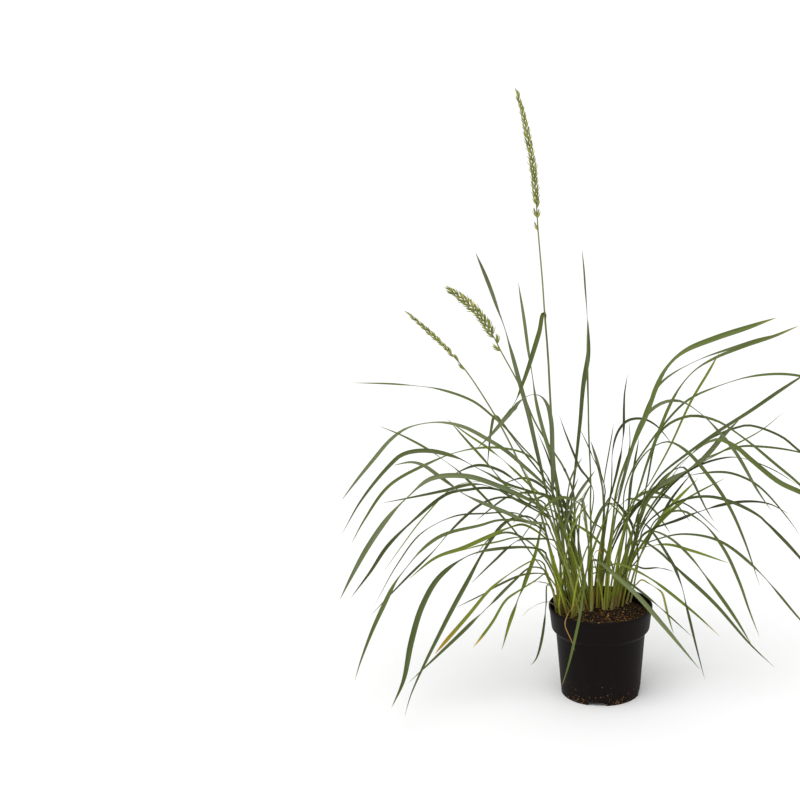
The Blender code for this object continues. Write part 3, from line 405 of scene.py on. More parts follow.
crumb_kinds = (
    (0.50, "170F07", (1.0, 1.0, 0.8)),
    (0.24, "2E1C0C", (1.0, 0.9, 0.7)),
    (0.10, "6A3216", (1.5, 0.8, 0.5)),
    (0.09, "A07C28", (1.3, 0.6, 0.4)),
    (0.07, "DCC878", (1.5, 0.4, 0.3)),
)
crumb_count = 2600
draw = random.Random(11)
points, faces, tints = [], [], []
for _ in range(crumb_count):
    angle = draw.uniform(0, 2 * math.pi)
    out = (soil_edge - 2 * MM) * math.sqrt(draw.random())
    x, y = out * math.cos(angle), out * math.sin(angle)
    size = min(5.5, draw.lognormvariate(0.5, 0.5)) * MM
    _, colour, stretch = draw.choices(crumb_kinds, [kind[0] for kind in crumb_kinds])[0]
    lump_points, lump_faces = lump(Vector((x, y, crumbly_height(x, y) + size * 0.12)), size, stretch, draw)
    faces += [tuple(corner + len(points) for corner in face) for face in lump_faces]
    points += lump_points
    tints += [linear(colour)] * len(lump_points)
crumbs = add_piece("soil_crumbs", points, faces, bark_mix, sharp_above=50.0)
add_tints(crumbs, tints)

# Grit on the pot. Dry crumbs of compost and bark that stick to the pot's foot.
grit_count = 110
points, faces, tints = [], [], []
for _ in range(grit_count):
    angle = math.radians(draw.choice((draw.gauss(-124, 11), draw.gauss(-62, 13), draw.uniform(-180, 180))))
    up = min(60.0, 1.5 + draw.expovariate(1 / 6.0)) * MM
    if channel_lift(0.99 * outer_radius(0.0) * math.cos(angle), 0.99 * outer_radius(0.0) * math.sin(angle)) > 0:
        up += channel_height
    out = outer_radius(up) + 0.1 * MM
    size = draw.uniform(0.7, 1.9) * MM
    centre = Vector((out * math.cos(angle), out * math.sin(angle), up))
    lump_points, lump_faces = lump(centre, size, (1.0, 1.0, 0.8), draw)
    faces += [tuple(corner + len(points) for corner in face) for face in lump_faces]
    points += lump_points
    tints += [linear(draw.choice(("C9A468", "A9783F", "7A5230")))] * len(lump_points)
grit = add_piece("grit_on_pot", points, faces, bark_mix, sharp_above=50.0)
add_tints(grit, tints)


# Grass shoots. Each shoot is a column of leaf sheaths, rolled round each other like tubes, and every
# sheath opens at its top into one long blade that arches out. All of it is one grown, waxy leaf tissue.
# Readings are centimetres: across and up on the upright plane through the pot's axis, as the eye sees
# them, and a depth behind that plane. A shoot has its foot on the soil, the head of its column, and its
# leaves: where on the column a leaf opens, its width, the depth of its tip, its kind, and the points of
# its midrib, the tip last. A third number in a point is that point's own depth.
shoots = (
    ((-7.1, 0.5), (-9.0, 21.4, -0.3), (
        (0.97, 0.65, -7, "yellowing", ((-10.4, 22.9), (-13.5, 21.4), (-17.9, 17.9), (-21.8, 13.1), (-27.6, 6.0))),
        (0.80, 0.50, -10, "dry tip", ((-10.6, 19.4), (-13.3, 17.6), (-15.6, 15.8), (-18.0, 11.7), (-21.2, 7.2))),
        (0.55, 0.25, -3, "bleached", ((-9.4, 19.0), (-10.6, 19.1), (-12.1, 18.7))),
    )),
    ((-6.6, -0.6), (-9.0, 20.6, -2.6), (
        (0.97, 0.65, -9, "green", ((-11.5, 21.6), (-14.4, 19.0), (-20.8, 12.2), (-27.7, 5.2), (-32.2, 0.7))),
        (0.85, 0.40, 2, "green", ((-12.3, 20.4), (-17.0, 18.3), (-19.0, 17.0), (-23.9, 14.4))),
        (0.55, 0.50, -5, "dark", ((-8.7, 18.6), (-9.0, 14.8), (-9.7, 9.1), (-10.7, 5.4), (-11.6, 4.2))),
    )),
    ((-6.6, 1.9), (-9.0, 28.4, 2.4), (
        (0.98, 0.90, -5, "fresh", ((-9.5, 29.6), (-10.0, 27.4), (-10.7, 24.0), (-12.6, 18.7), (-14.9, 12.3),
                                   (-16.4, 6.8))),
        (0.85, 0.85, -20, "green", ((-11.8, 30.4), (-15.6, 29.3), (-18.7, 25.2), (-22.2, 18.7), (-25.7, 11.9),
                                    (-29.2, 4.7), (-31.9, -1.6), (-33.0, -5.6))),
    )),
    ((-5.4, -0.8), (-8.9, 23.8, -4.0), (
        (0.97, 1.00, -20, "green", ((-11.7, 25.1), (-16.7, 24.8), (-22.0, 23.4), (-26.6, 19.8), (-29.5, 14.7),
                                    (-31.6, 8.0), (-33.0, 1.2), (-35.2, -4.0))),
        (0.80, 0.30, 3, "dry tip", ((-12.5, 26.7), (-17.0, 26.0), (-20.0, 25.3), (-23.2, 24.3))),
    )),
    ((-5.9, 0.4), (-8.9, 27.4, -1.8), (
        (0.97, 0.85, -12, "green", ((-12.5, 29.5), (-16.6, 29.7), (-19.3, 28.9), (-26.6, 26.6), (-32.4, 20.8),
                                    (-36.8, 12.7), (-40.1, 4.6), (-41.3, 0.8))),
        (0.85, 0.70, -6, "fresh", ((-12.5, 29.0), (-15.0, 28.4), (-18.5, 26.8), (-22.5, 24.9), (-27.0, 23.2),
                                   (-31.8, 19.2))),
        (0.90, 0.32, 1, "green", ((-13.0, 30.8), (-19.2, 30.9), (-23.8, 30.4), (-29.3, 27.4), (-33.4, 22.0),
                                  (-37.5, 14.6))),
    )),
    ((-4.5, -1.9), (-2.9, 23.0, -3.8), (
        (0.97, 0.60, -14, "green", ((-2.0, 25.4), (-2.1, 23.0, -7), (-2.4, 20.0, -8.5), (-3.0, 16.7), (-3.5, 13.0),
                                    (-4.2, 9.5), (-5.7, 3.1), (-6.5, 0.4))),
        (0.20, 0.35, -8.6, "dead", ((-4.9, 14.1, -4.6), (-5.35, 13.5, -7.4), (-5.8, 11.7, -8.6), (-5.4, 10.3),
                                    (-4.8, 8.9), (-4.2, 6.9))),
    )),
    ((-3.7, -1.0), (-8.3, 28.4, -2.6), (
        (0.97, 0.80, -2, "grey", ((-11.8, 29.4), (-15.3, 31.0), (-21.6, 33.9), (-26.2, 37.2), (-28.6, 39.0),
                                  (-30.5, 39.6), (-33.7, 39.1))),
        (0.80, 0.45, -12, "dark", ((-10.5, 26.6), (-13.6, 26.2), (-17.5, 22.6), (-21.4, 18.6))),
    )),
    ((-4.8, 0.7), (-8.0, 19.4, 1.1), (
        (0.97, 0.48, 4, "green", ((-11.0, 23.6), (-14.0, 28.0), (-16.7, 31.3), (-19.4, 34.4), (-23.4, 38.5),
                                  (-27.8, 41.8), (-32.2, 44.3), (-36.0, 45.9))),
        (0.60, 0.45, 6, "green", ((-8.8, 22.6), (-11.6, 26.0), (-14.8, 27.6), (-17.6, 26.9), (-20.6, 23.4))),
    )),
    ((-3.3, 0.4), (-8.4, 30.8, -1.0), (
        (0.97, 0.90, -6, "grey", ((-12.0, 33.5), (-17.2, 35.9), (-21.8, 37.3), (-27.2, 36.9), (-31.0, 34.0),
                                  (-34.7, 30.0), (-38.2, 25.0), (-41.0, 20.0), (-43.3, 15.5))),
        (0.88, 0.60, 3, "green", ((-14.0, 33.5), (-18.0, 35.6), (-21.0, 35.9), (-25.0, 34.9), (-30.0, 33.8),
                                  (-35.8, 32.6))),
    )),
    ((-4.0, 1.6), (-9.0, 32.4, 1.8), (
        (0.97, 0.70, -2, "dark", ((-12.5, 33.8), (-18.0, 35.3), (-21.5, 35.0), (-24.8, 34.3), (-30.0, 30.1),
                                  (-35.0, 25.0), (-38.0, 20.5), (-41.5, 15.8))),
        (0.90, 0.25, 9, "fresh", ((-13.0, 34.8), (-19.5, 36.4), (-23.5, 35.6), (-28.5, 30.6), (-33.0, 24.6),
                                  (-35.9, 20.4))),
        (0.82, 0.55, -7, "dark", ((-13.0, 33.2), (-16.2, 33.7), (-18.5, 33.0), (-20.6, 31.6), (-24.5, 27.8),
                                  (-27.8, 23.8), (-32.1, 19.4), (-38.3, 12.7))),
    )),
    ((-2.4, 1.7), (-7.8, 33.0, -0.4), (
        (0.97, 0.80, -2, "green", ((-11.4, 34.8), (-15.1, 36.0), (-18.8, 38.1), (-23.1, 40.4), (-27.8, 41.6),
                                   (-31.9, 41.0), (-34.2, 39.1), (-39.1, 33.0), (-42.6, 27.0))),
        (0.85, 0.45, 11, "green", ((-11.8, 32.6), (-15.1, 35.6), (-18.3, 39.6), (-21.6, 43.5), (-24.3, 46.8))),
    )),
    ((-3.1, 2.9), (-7.4, 33.6, 3.6), (
        (0.97, 0.85, 5, "grey", ((-10.1, 36.8), (-12.8, 39.3), (-15.0, 41.3), (-17.7, 43.2), (-22.1, 45.6),
                                 (-26.8, 46.4), (-30.9, 45.5), (-33.5, 43.7), (-36.7, 40.1), (-42.4, 33.0))),
        (0.88, 0.45, 13, "fresh", ((-10.5, 35.0), (-14.8, 39.3), (-17.8, 41.9), (-21.6, 44.6), (-24.9, 47.2))),
    )),
    ((-5.0, 4.1), (-8.7, 34.6, 5.6), (
        (0.97, 0.90, 16, "grey", ((-9.4, 38.4), (-11.0, 46.0), (-12.7, 53.0), (-14.9, 61.3), (-18.0, 70.8),
                                  (-19.6, 74.4))),
        (0.88, 0.55, -2, "green", ((-9.8, 39.0), (-11.5, 40.8), (-13.9, 41.8), (-18.2, 42.2), (-23.1, 41.4),
                                   (-27.5, 39.6), (-34.3, 35.7), (-38.6, 29.8), (-41.1, 25.3))),
    )),
    ((-3.7, 4.2), (-8.1, 36.2, 7.2), (
        (0.97, 0.45, 15, "green", ((-10.3, 39.8), (-12.8, 42.6), (-15.0, 45.3), (-17.2, 47.4), (-20.4, 50.0),
                                   (-25.9, 52.0), (-32.3, 52.8), (-40.0, 53.1))),
        (0.88, 0.55, 4, "green", ((-10.2, 38.5), (-13.2, 42.5), (-15.8, 46.3), (-16.9, 47.6), (-17.5, 45.5),
                                  (-17.9, 42.5), (-18.3, 38.7))),
    )),
    ((-5.8, 2.8), (-7.7, 33.8, 3.0), (
        (0.97, 0.85, -3, "grey", ((-7.8, 42.0), (-8.0, 47.0), (-8.6, 49.5), (-9.7, 50.9), (-11.0, 51.1),
                                  (-12.4, 50.3), (-14.3, 48.3), (-17.8, 44.1), (-20.0, 42.0))),
        (0.75, 0.50, 14, "dark", ((-9.6, 31.5), (-12.6, 35.6), (-16.0, 38.2), (-19.6, 39.2), (-24.0, 37.6))),
    )),
    ((-2.3, 4.2), (-6.0, 31.2, 5.2), (
        (0.97, 0.70, 17, "grey", ((-6.7, 35.0), (-7.3, 38.2), (-8.0, 41.2), (-8.9, 44.2), (-10.0, 49.0),
                                  (-11.1, 56.4), (-11.9, 63.0), (-12.9, 69.6))),
        (0.85, 0.50, 20, "dark", ((-6.6, 31.6), (-8.8, 35.2), (-12.0, 37.0), (-16.0, 36.0))),
    )),
    ((-3.9, 5.5), (-4.8, 30.6, 6.4), (
        (0.97, 1.10, 13, "green", ((-4.4, 36.4), (-3.9, 41.0), (-3.5, 45.5), (-2.8, 53.0), (-2.1, 58.0),
                                   (-1.95, 63.5))),
        (0.80, 0.55, 20, "dark", ((-5.8, 31.0), (-8.0, 34.0), (-11.0, 33.0), (-14.4, 29.0))),
    )),
    ((-1.6, 2.9), (-1.6, 31.0, 3.2), (
        (0.97, 0.80, 7, "green", ((-1.5, 36.0), (-1.8, 45.0), (-1.9, 52.0), (-2.0, 58.0), (-2.1, 64.0),
                                  (-2.5, 71.5), (-2.9, 74.8))),
        (0.85, 0.40, 9, "dark", ((-1.1, 34.6), (-1.9, 36.8), (-3.2, 38.6), (-4.2, 41.0), (-5.6, 44.7),
                                 (-6.6, 47.7))),
    )),
    ((-0.3, 2.6), (0.7, 34.4, 2.0), (
        (0.97, 0.42, -3, "dark", ((0.1, 37.6), (-1.2, 40.5), (-2.5, 43.6), (-3.4, 45.6))),
        (0.80, 0.38, 8, "dark", ((0.6, 37.0), (1.0, 39.8), (1.3, 41.5), (2.1, 46.3))),
        (0.65, 0.60, -8, "green", ((-1.4, 29.6), (-3.8, 33.0), (-7.0, 33.6), (-10.6, 30.4))),
    )),
    ((-0.9, 4.0), (1.6, 34.5, 4.8), (
        (0.97, 0.45, 12, "dark", ((1.8, 38.5), (1.9, 41.5), (2.4, 44.0), (3.1, 45.5), (4.2, 46.7), (5.7, 47.1),
                                  (7.2, 46.9), (9.0, 45.8), (11.6, 42.6))),
        (0.88, 0.65, 10, "dark", ((2.7, 38.6), (3.5, 43.0), (3.7, 49.2), (3.8, 51.3), (4.3, 54.6))),
    )),
    ((0.8, 1.4), (2.3, 33.2, 0.8), (
        (0.97, 1.00, 3, "green", ((3.2, 37.4), (4.6, 41.2), (6.0, 44.6), (7.3, 47.6), (8.7, 51.9), (10.8, 55.9),
                                  (13.3, 58.2), (18.2, 60.3), (23.4, 62.1), (27.5, 63.6))),
        (0.88, 0.45, -5, "dark", ((3.6, 37.4), (4.7, 42.5), (4.7, 44.5), (4.5, 47.0))),
    )),
    ((0.6, 4.0), (2.9, 33.6, 5.2), (
        (0.97, 0.55, 16, "green", ((4.4, 40.0), (6.2, 45.5), (7.7, 49.7), (9.6, 53.0), (14.4, 56.3), (19.6, 58.3),
                                   (27.0, 60.8))),
        (0.85, 0.60, 4, "grey", ((5.0, 42.0), (7.0, 47.3), (9.8, 49.7), (12.5, 50.0), (15.8, 48.0), (18.7, 45.0),
                                 (21.4, 41.6), (25.2, 34.9), (27.4, 31.6))),
    )),
    ((1.5, 2.8), (4.0, 29.6, 2.6), (
        (0.97, 0.80, 6, "green", ((5.2, 32.4), (6.3, 35.6), (7.4, 39.4), (9.0, 44.1), (11.6, 50.5), (14.4, 54.6),
                                  (17.8, 56.9), (22.2, 58.7), (27.4, 60.6), (31.0, 62.3))),
        (0.85, 0.50, 11, "green", ((3.8, 34.6), (5.3, 39.0), (7.4, 42.4), (9.5, 45.4), (13.6, 50.0), (18.4, 52.4),
                                   (23.6, 54.0), (28.9, 54.4), (36.0, 53.0))),
    )),
    ((2.0, 4.1), (4.9, 32.6, 5.0), (
        (0.97, 0.45, 15, "fresh", ((7.4, 35.6), (8.9, 38.2), (11.2, 42.8), (14.3, 50.0), (17.0, 54.9),
                                   (18.6, 57.9))),
        (0.80, 0.65, -6, "green", ((5.0, 37.0), (6.3, 40.0), (8.2, 42.2), (10.8, 43.2), (13.7, 41.6), (17.5, 37.2),
                                   (20.6, 32.4), (23.0, 27.0), (25.9, 18.5))),
    )),
    ((2.7, 3.0), (5.8, 30.2, 2.2), (
        (0.97, 0.60, 3, "green", ((7.6, 34.6), (9.7, 37.7), (14.0, 41.4), (18.7, 45.0), (23.7, 48.4), (28.9, 52.2),
                                  (33.2, 55.2))),
        (0.88, 0.85, -3, "green", ((9.6, 36.0), (14.5, 41.2), (18.5, 43.6), (21.5, 42.4), (24.0, 40.2),
                                   (28.5, 36.5), (33.0, 34.2), (38.0, 30.0), (41.5, 24.5))),
    )),
    ((3.4, 4.2), (6.0, 28.8, 4.2), (
        (0.97, 0.55, 6, "green", ((7.4, 36.0), (9.6, 45.0), (13.9, 47.5), (18.2, 46.8), (22.4, 44.1), (27.7, 39.6),
                                  (31.2, 36.6), (36.0, 31.5), (39.5, 26.5))),
        (0.90, 0.90, 9, "grey", ((7.9, 34.4), (10.5, 36.4), (13.2, 38.0), (15.5, 39.6), (17.4, 41.6), (19.4, 44.2),
                                 (22.0, 47.0))),
        (0.78, 0.45, 14, "fresh", ((8.6, 33.0), (12.5, 37.4), (16.6, 40.0), (21.1, 42.6), (25.6, 45.3),
                                   (29.1, 48.4))),
    )),
    ((3.0, 5.4), (6.8, 29.4, 6.7), (
        (0.97, 0.42, 13, "dark", ((12.2, 38.5), (17.0, 43.5), (21.5, 45.6), (23.6, 46.0), (28.5, 44.2),
                                  (31.2, 42.0), (36.5, 37.5), (40.0, 32.5))),
        (0.90, 0.40, 17, "green", ((11.5, 36.0), (16.0, 40.0), (21.9, 42.4), (25.0, 42.5), (31.3, 41.6),
                                   (37.0, 39.5))),
        (0.82, 0.45, 12, "dark", ((9.8, 34.0), (14.5, 38.6), (20.0, 40.6), (22.7, 40.5), (28.0, 38.3),
                                  (31.6, 35.9))),
    )),
    ((2.9, 6.6), (6.6, 26.8, 7.9), (
        (0.97, 0.60, 7, "dark", ((8.5, 28.5), (12.2, 29.9), (17.4, 32.0), (22.8, 33.2), (26.8, 32.9),
                                 (30.3, 31.1))),
        (0.85, 0.60, -2, "dark", ((7.0, 28.6), (9.5, 31.3), (13.8, 33.6), (18.5, 33.9), (24.9, 31.1),
                                  (29.4, 26.8), (36.0, 19.0))),
    )),
    ((4.3, 5.3), (7.4, 26.4, 5.4), (
        (0.97, 0.55, -8, "green", ((9.0, 30.0), (12.8, 31.6), (16.5, 29.6), (20.0, 25.0), (22.5, 19.5),
                                   (24.2, 14.5), (26.0, 9.7))),
        (0.85, 0.52, -4, "green", ((9.0, 26.6), (13.3, 27.6), (19.3, 26.4), (25.8, 21.0), (32.4, 13.0),
                                   (36.5, 8.5))),
    )),
    ((-1.1, 5.4), (3.3, 29.4, 7.8), (
        (0.97, 0.55, 4, "green", ((8.6, 34.6), (12.0, 36.9), (15.2, 37.8), (20.0, 38.1), (23.0, 37.2),
                                  (25.5, 35.6), (30.0, 30.4), (32.2, 27.2))),
        (0.88, 0.45, -5, "dark", ((7.0, 33.2), (11.0, 38.0), (13.4, 38.9), (14.6, 37.0), (16.9, 32.1),
                                  (18.4, 29.5))),
        (0.70, 0.60, 28, "green", ((4.2, 31.6), (7.0, 34.6), (10.6, 34.0), (14.6, 29.6))),
    )),
    ((2.0, 1.8), (4.4, 25.8, 0.8), (
        (0.97, 0.55, -10, "dark", ((5.6, 28.8), (6.9, 29.4), (8.6, 27.6), (10.4, 24.8), (12.7, 20.3), (14.2, 14.5),
                                   (15.7, 8.1), (17.2, 2.0))),
        (0.88, 0.60, -8, "green", ((6.5, 26.4), (8.7, 25.2), (13.9, 20.3), (18.8, 15.4), (24.5, 8.5),
                                   (28.6, 4.4))),
    )),
    ((1.7, 5.2), (5.0, 24.4, 5.2), (
        (0.97, 0.65, -3, "green", ((8.0, 28.0), (11.0, 27.0), (14.4, 23.8), (18.2, 18.6), (22.1, 12.8),
                                   (24.8, 8.2))),
        (0.85, 0.48, 2, "fresh", ((6.3, 25.0), (10.6, 25.8), (14.9, 24.7), (20.9, 22.6))),
    )),
    ((1.5, 6.7), (5.6, 22.6, 8.6), (
        (0.97, 0.50, 11, "dark", ((8.6, 28.5), (11.0, 33.0), (13.2, 36.2), (14.8, 38.2))),
        (0.80, 0.38, 6, "dark", ((7.0, 21.6), (9.6, 21.7), (12.0, 21.1))),
        (0.55, 0.40, 2, "fading", ((5.4, 18.6), (6.6, 19.6), (6.9, 19.6), (9.8, 17.7), (10.1, 17.3),
                                    (11.0, 13.7), (12.0, 10.1))),
    )),
    ((-1.6, 0.9), (-1.3, 22.2, -0.8), (
        (0.97, 0.80, -9, "grey", ((-0.4, 22.8), (2.3, 20.5), (6.1, 16.8), (10.0, 12.1), (16.4, 3.9))),
        (0.85, 0.50, -5, "dry tip", ((0.0, 21.4), (2.6, 22.4), (4.6, 21.8), (8.6, 19.5), (14.8, 14.4), (19.8, 9.6))),
        (0.70, 0.40, -3, "green", ((1.2, 20.8), (5.0, 18.8), (8.6, 15.8), (15.2, 9.6))),
    )),
    ((-2.5, 5.5), (-3.6, 27.0, 9.4), (
        (0.97, 0.70, 33, "green", ((-4.6, 31.4), (-6.4, 33.0), (-9.6, 31.0), (-13.4, 25.8))),
        (0.85, 0.55, 24, "dark", ((-4.4, 30.2), (-8.4, 34.0), (-14.0, 34.2), (-20.4, 29.6))),
    )),
    ((-1.6, 6.7), (-2.0, 26.4, 12.0), (
        (0.97, 0.75, 36, "grey", ((-2.4, 31.0), (-3.0, 33.4), (-4.2, 32.4), (-5.8, 27.4))),
        (0.85, 0.60, 32, "green", ((-0.8, 29.8), (1.0, 32.6), (3.6, 31.8), (6.4, 26.8))),
    )),
    ((0.0, 6.7), (1.4, 26.0, 11.4), (
        (0.97, 0.75, 35, "green", ((2.4, 30.8), (4.2, 33.4), (7.4, 32.6), (11.4, 27.6))),
        (0.85, 0.55, 26, "dark", ((3.2, 29.6), (7.4, 33.6), (13.0, 33.0), (19.6, 27.6))),
    )),
)

# A kind of leaf: the colour of its sheath, of its blade and of its tip, how much of it the dry tip is,
# and how thick the wax bloom on it is.
leaf_kinds = {
    "grey": ("A2A846", "646E3C", "767236", 0.07, 0.52),
    "green": ("9EA63A", "515E1E", "8E8230", 0.08, 0.22),
    "dark": ("889034", "3C4616", "726824", 0.07, 0.12),
    "fresh": ("A8B43C", "72821E", "A49632", 0.10, 0.07),
    "yellowing": ("B4B044", "8A9424", "E0AA20", 0.24, 0.02),
    "dry tip": ("A6AE3C", "64741E", "D4AC3C", 0.15, 0.07),
    "fading": ("B0A852", "A8A448", "5A702A", 0.50, 0.04),
    "dead": ("B08C50", "C09C5C", "AC7E3A", 1.00, 0.0),
    "bleached": ("A8946A", "B4A880", "A4967A", 1.00, 0.0),
}

# How a twist turns a blade edge-on to the eye (where along it, and how fully) and where the blade is
# broadest, for the blades that show clearly. The others have these spread by their number, and the
# grey ones are broad from near their sheath.
blade_places = {
    0: (0.30, 0.6, 0.86), 1: (0.30, 0.5, 0.84), 8: (0.34, 0.85, 0.74), 28: (0.68, 0.95, 0.87), 32: (0.63, 1.0, 0.70),
    34: (0.60, 0.8, 0.82), 36: (0.12, 0.5, 0.78), 38: (0.75, 1.0, 0.83), 45: (0.58, 0.6, 0.84), 47: (0.66, 0.95, 0.90),
    49: (0.58, 0.8, 0.88), 50: (0.66, 0.8, 0.92), 51: (0.14, 0.5, 0.88), 53: (0.10, 0.4, 0.80), 75: (0.90, 0.0, 0.50),
    84: (0.82, 0.9, 0.10),
}
stalk_leaf_number = 84
foot_thickening = 0.7 * MM
least_head_radius = 0.45 * MM
head_radius_share = 0.078
rolled = math.pi * 1.07
tiller_spread = 2.6 * MM
sheath_bow = 0.10
sheath_points = 17
rooted_depth = 14 * MM
foot_limit = 76 * MM
curve_steps = 12
leaf_columns = 11
sheath_stations = 14
blade_stations = 48


def seen(across, up, depth):
    """The point at this depth that the eye sees at (across, up) on the plane through the pot's axis."""
    on_plane = Vector((across * CM, 0.0, up * CM))
    return eye + (on_plane - eye) * ((depth * CM - eye.y) / -eye.y)


def reading_of(point):
    """Where the eye sees a point on the plane through the pot's axis, in metres."""
    return eye + (point - eye) * (-eye.y / (point.y - eye.y))


def run_along(line):
    """How far along the line each of its points is."""
    lengths = [0.0]
    for p, q in zip(line, line[1:]):
        lengths.append(lengths[-1] + (q - p).length)
    return lengths


def even_points(line, count):
    lengths = run_along(line)
    made = []
    at = 0
    for i in range(count):
        wanted = lengths[-1] * i / (count - 1)
        while at < len(line) - 2 and lengths[at + 1] < wanted:
            at += 1
        share = (wanted - lengths[at]) / max(lengths[at + 1] - lengths[at], 1e-9)
        made.append(line[at].lerp(line[at + 1], min(share, 1.0)))
    return made


def smooth_line(points, count):
    """Evenly spaced points on a smooth curve through the given ones."""
    spans = [math.sqrt((q - p).length) for p, q in zip(points, points[1:])]
    slopes = [(q - p) / span for p, q, span in zip(points, points[1:], spans)]
    tangents = [slopes[0]]
    for i in range(len(spans) - 1):
        mixed = slopes[i] * spans[i + 1] + slopes[i + 1] * spans[i]
        tangents.append(mixed / (spans[i] + spans[i + 1]))
    tangents.append(slopes[-1])
    dense = []
    for i, span in enumerate(spans):
        low = points[i] + tangents[i] * span / 3
        high = points[i + 1] - tangents[i + 1] * span / 3
        dense += interpolate_bezier(points[i], low, high, points[i + 1], curve_steps)
    return even_points(dense, count)


def along_line(line, share):
    place = share * (len(line) - 1)
    low = min(int(place), len(line) - 2)
    return line[low].lerp(line[low + 1], place - low)


def rooted(foot, towards):
    """The soil-level point of a foot, and the point where it ends in the soil."""
    x, y = foot[0] * CM, foot[1] * CM
    surface = Vector((x, y, soil_height(x, y)))
    return surface, surface - (towards - surface).normalized() * rooted_depth


def sheath_line(foot, head):
    """The column of leaf sheaths, upright at first and then leaning out to its head."""
    top = seen(*head)
    surface = rooted(foot, top)[0]
    middle = surface.lerp(top, 0.5)
    middle -= Vector((top.x - surface.x, top.y - surface.y, 0.0)) * sheath_bow
    return smooth_line([rooted(foot, middle)[1], surface, middle, top], sheath_points)


def blade_line(stem, opens_at, tip_depth, readings, count):
    """The midrib of a blade: out of its sheath, then through its readings."""
    start = along_line(stem, opens_at)
    onward = (start - along_line(stem, opens_at - 0.15)).normalized()
    ahead = start + onward * 12 * MM
    run = run_along([reading_of(ahead)] + [Vector((r[0] * CM, 0.0, r[1] * CM)) for r in readings])
    known = [(0.0, ahead.y / CM)]
    known += [(run[i + 1], r[2]) for i, r in enumerate(readings[:-1]) if len(r) == 3]
    known.append((run[-1], tip_depth))
    points = [start, ahead]
    for reading, length in zip(readings, run[1:]):
        after = next(i for i, (at, _) in enumerate(known) if at >= length)
        (low, near), (high, far) = known[after - 1], known[after]
        points.append(seen(reading[0], reading[1], near + (far - near) * (length - low) / (high - low)))
    return smooth_line(points, count)


def blade_share(u, widened, broadest):
    """A blade's width along its length: narrow at its sheath, broadest far out, then drawn to a point."""
    if u < broadest:
        return 0.46 + 0.54 * eased(u / widened)
    return 1 - ((u - broadest) / (1 - broadest)) ** 1.9


def places_of(number, kind):
    """Where a blade is edge-on to the eye, how fully, where it has widened, and where it is broadest."""
    spread = (0.26 + 0.46 * (number * 0.4656 % 1), 0.55 + 0.45 * (number * 0.2915 % 1),
              0.42 + 0.36 * (number * 0.7548 % 1))
    if kind == "grey":
        spread = (0.50 + 0.08 * spread[1], 0.85, 0.78)
    edge_place, edge_amount, broadest = blade_places.get(number, spread)
    return edge_place, edge_amount, 0.16 if kind == "grey" else broadest, broadest


def blade_turns(number):
    """How far a blade's face is turned from lying flat, at its foot and at its tip."""
    foot = 25 + 50 * (number * 0.618 % 1)
    tip = 25 + 50 * ((number * 0.382 + 0.3) % 1)
    return math.radians(foot), math.radians(tip)


def leaf_section(half, curl, fold, thickness):
    """Across and rise of the points round a leaf's section: its upper side, then its lower side.

    The section is an arc of this half width, curled by this half angle, with a fold at the midrib."""
    upper, lower = [], []
    for column in range(leaf_columns):
        s = 2 * column / (leaf_columns - 1) - 1
        angle = s * curl
        radius = half / curl
        spiral = 1 + 0.09 * s * eased((curl - 2.0) / 1.0)
        across = radius * math.sin(angle) * spiral
        rise = radius - radius * math.cos(angle) * spiral + abs(s) * half * fold
        midrib = max(0.0, 1 - abs(s) * 4)
        deep = thickness * (1 - 0.55 * s * s) + 0.3 * MM * midrib * min(1.0, half / (3 * MM))
        upper.append((across, rise, s, 1.0))
        lower.append((across + math.sin(angle) * deep, rise - math.cos(angle) * deep, s, 0.0))
    return upper + lower[::-1]


def mixed(first, second, share):
    share = min(1.0, max(0.0, share))
    return [a + (b - a) * share for a, b in zip(first, second)]


def add_leaf(parts, stations, tip):
    """Adds one leaf to the parts. A station is its centre, across and face directions, section and tint."""
    first = len(parts["points"])
    ring = 2 * leaf_columns
    for centre, across, face, section, tint, run in stations:
        half = max(abs(point[0]) for point in section)
        for aside, rise, s, side in section:
            parts["points"].append(centre + across * aside + face * rise)
            parts["places"].append((s * half, run))
            parts["tints"].append((*tint[:3], tint[3] * (0.5 + 0.5 * side)))
    for column in range(leaf_columns - 1):
        opposite = ring - 1 - column
        parts["faces"].append((first + column, first + column + 1, first + opposite - 1, first + opposite))
    for station in range(len(stations) - 1):
        low = first + station * ring
        for i in range(ring):
            following = (i + 1) % ring
            parts["faces"].append((low + i, low + ring + i, low + ring + following, low + following))
    last = first + (len(stations) - 1) * ring
    parts["points"].append(tip)
    parts["places"].append((0.0, stations[-1][5] + 3 * MM))
    parts["tints"].append(parts["tints"][-1])
    for i in range(ring):
        parts["faces"].append((last + i, len(parts["points"]) - 1, last + (i + 1) % ring))


def tiller_line(stem, opens_at, bearing, spread):
    """The axis of one tiller: beside the shoot's middle at the soil, and in it where its leaf opens."""
    line = []
    for i in range(sheath_stations + 1):
        share = i / sheath_stations
        aside = spread * math.cos(share * math.pi / 2) * (1 + 0.8 * share)
        line.append(along_line(stem, opens_at * share) + Vector((math.cos(bearing), math.sin(bearing), 0)) * aside)
    return line


def leaf_tints(kind, number):
    """The linear colours of a leaf at the soil, on its sheath, its blade and its tip."""
    bright = 0.74 + 0.58 * (number * 0.7548 % 1)
    soil_end = ("B4A468", "8C7442", "A8AC50", "C8C088")[number % 4]
    return [[channel * bright for channel in linear(colour)] for colour in (soil_end, *leaf_kinds[kind][:3])]


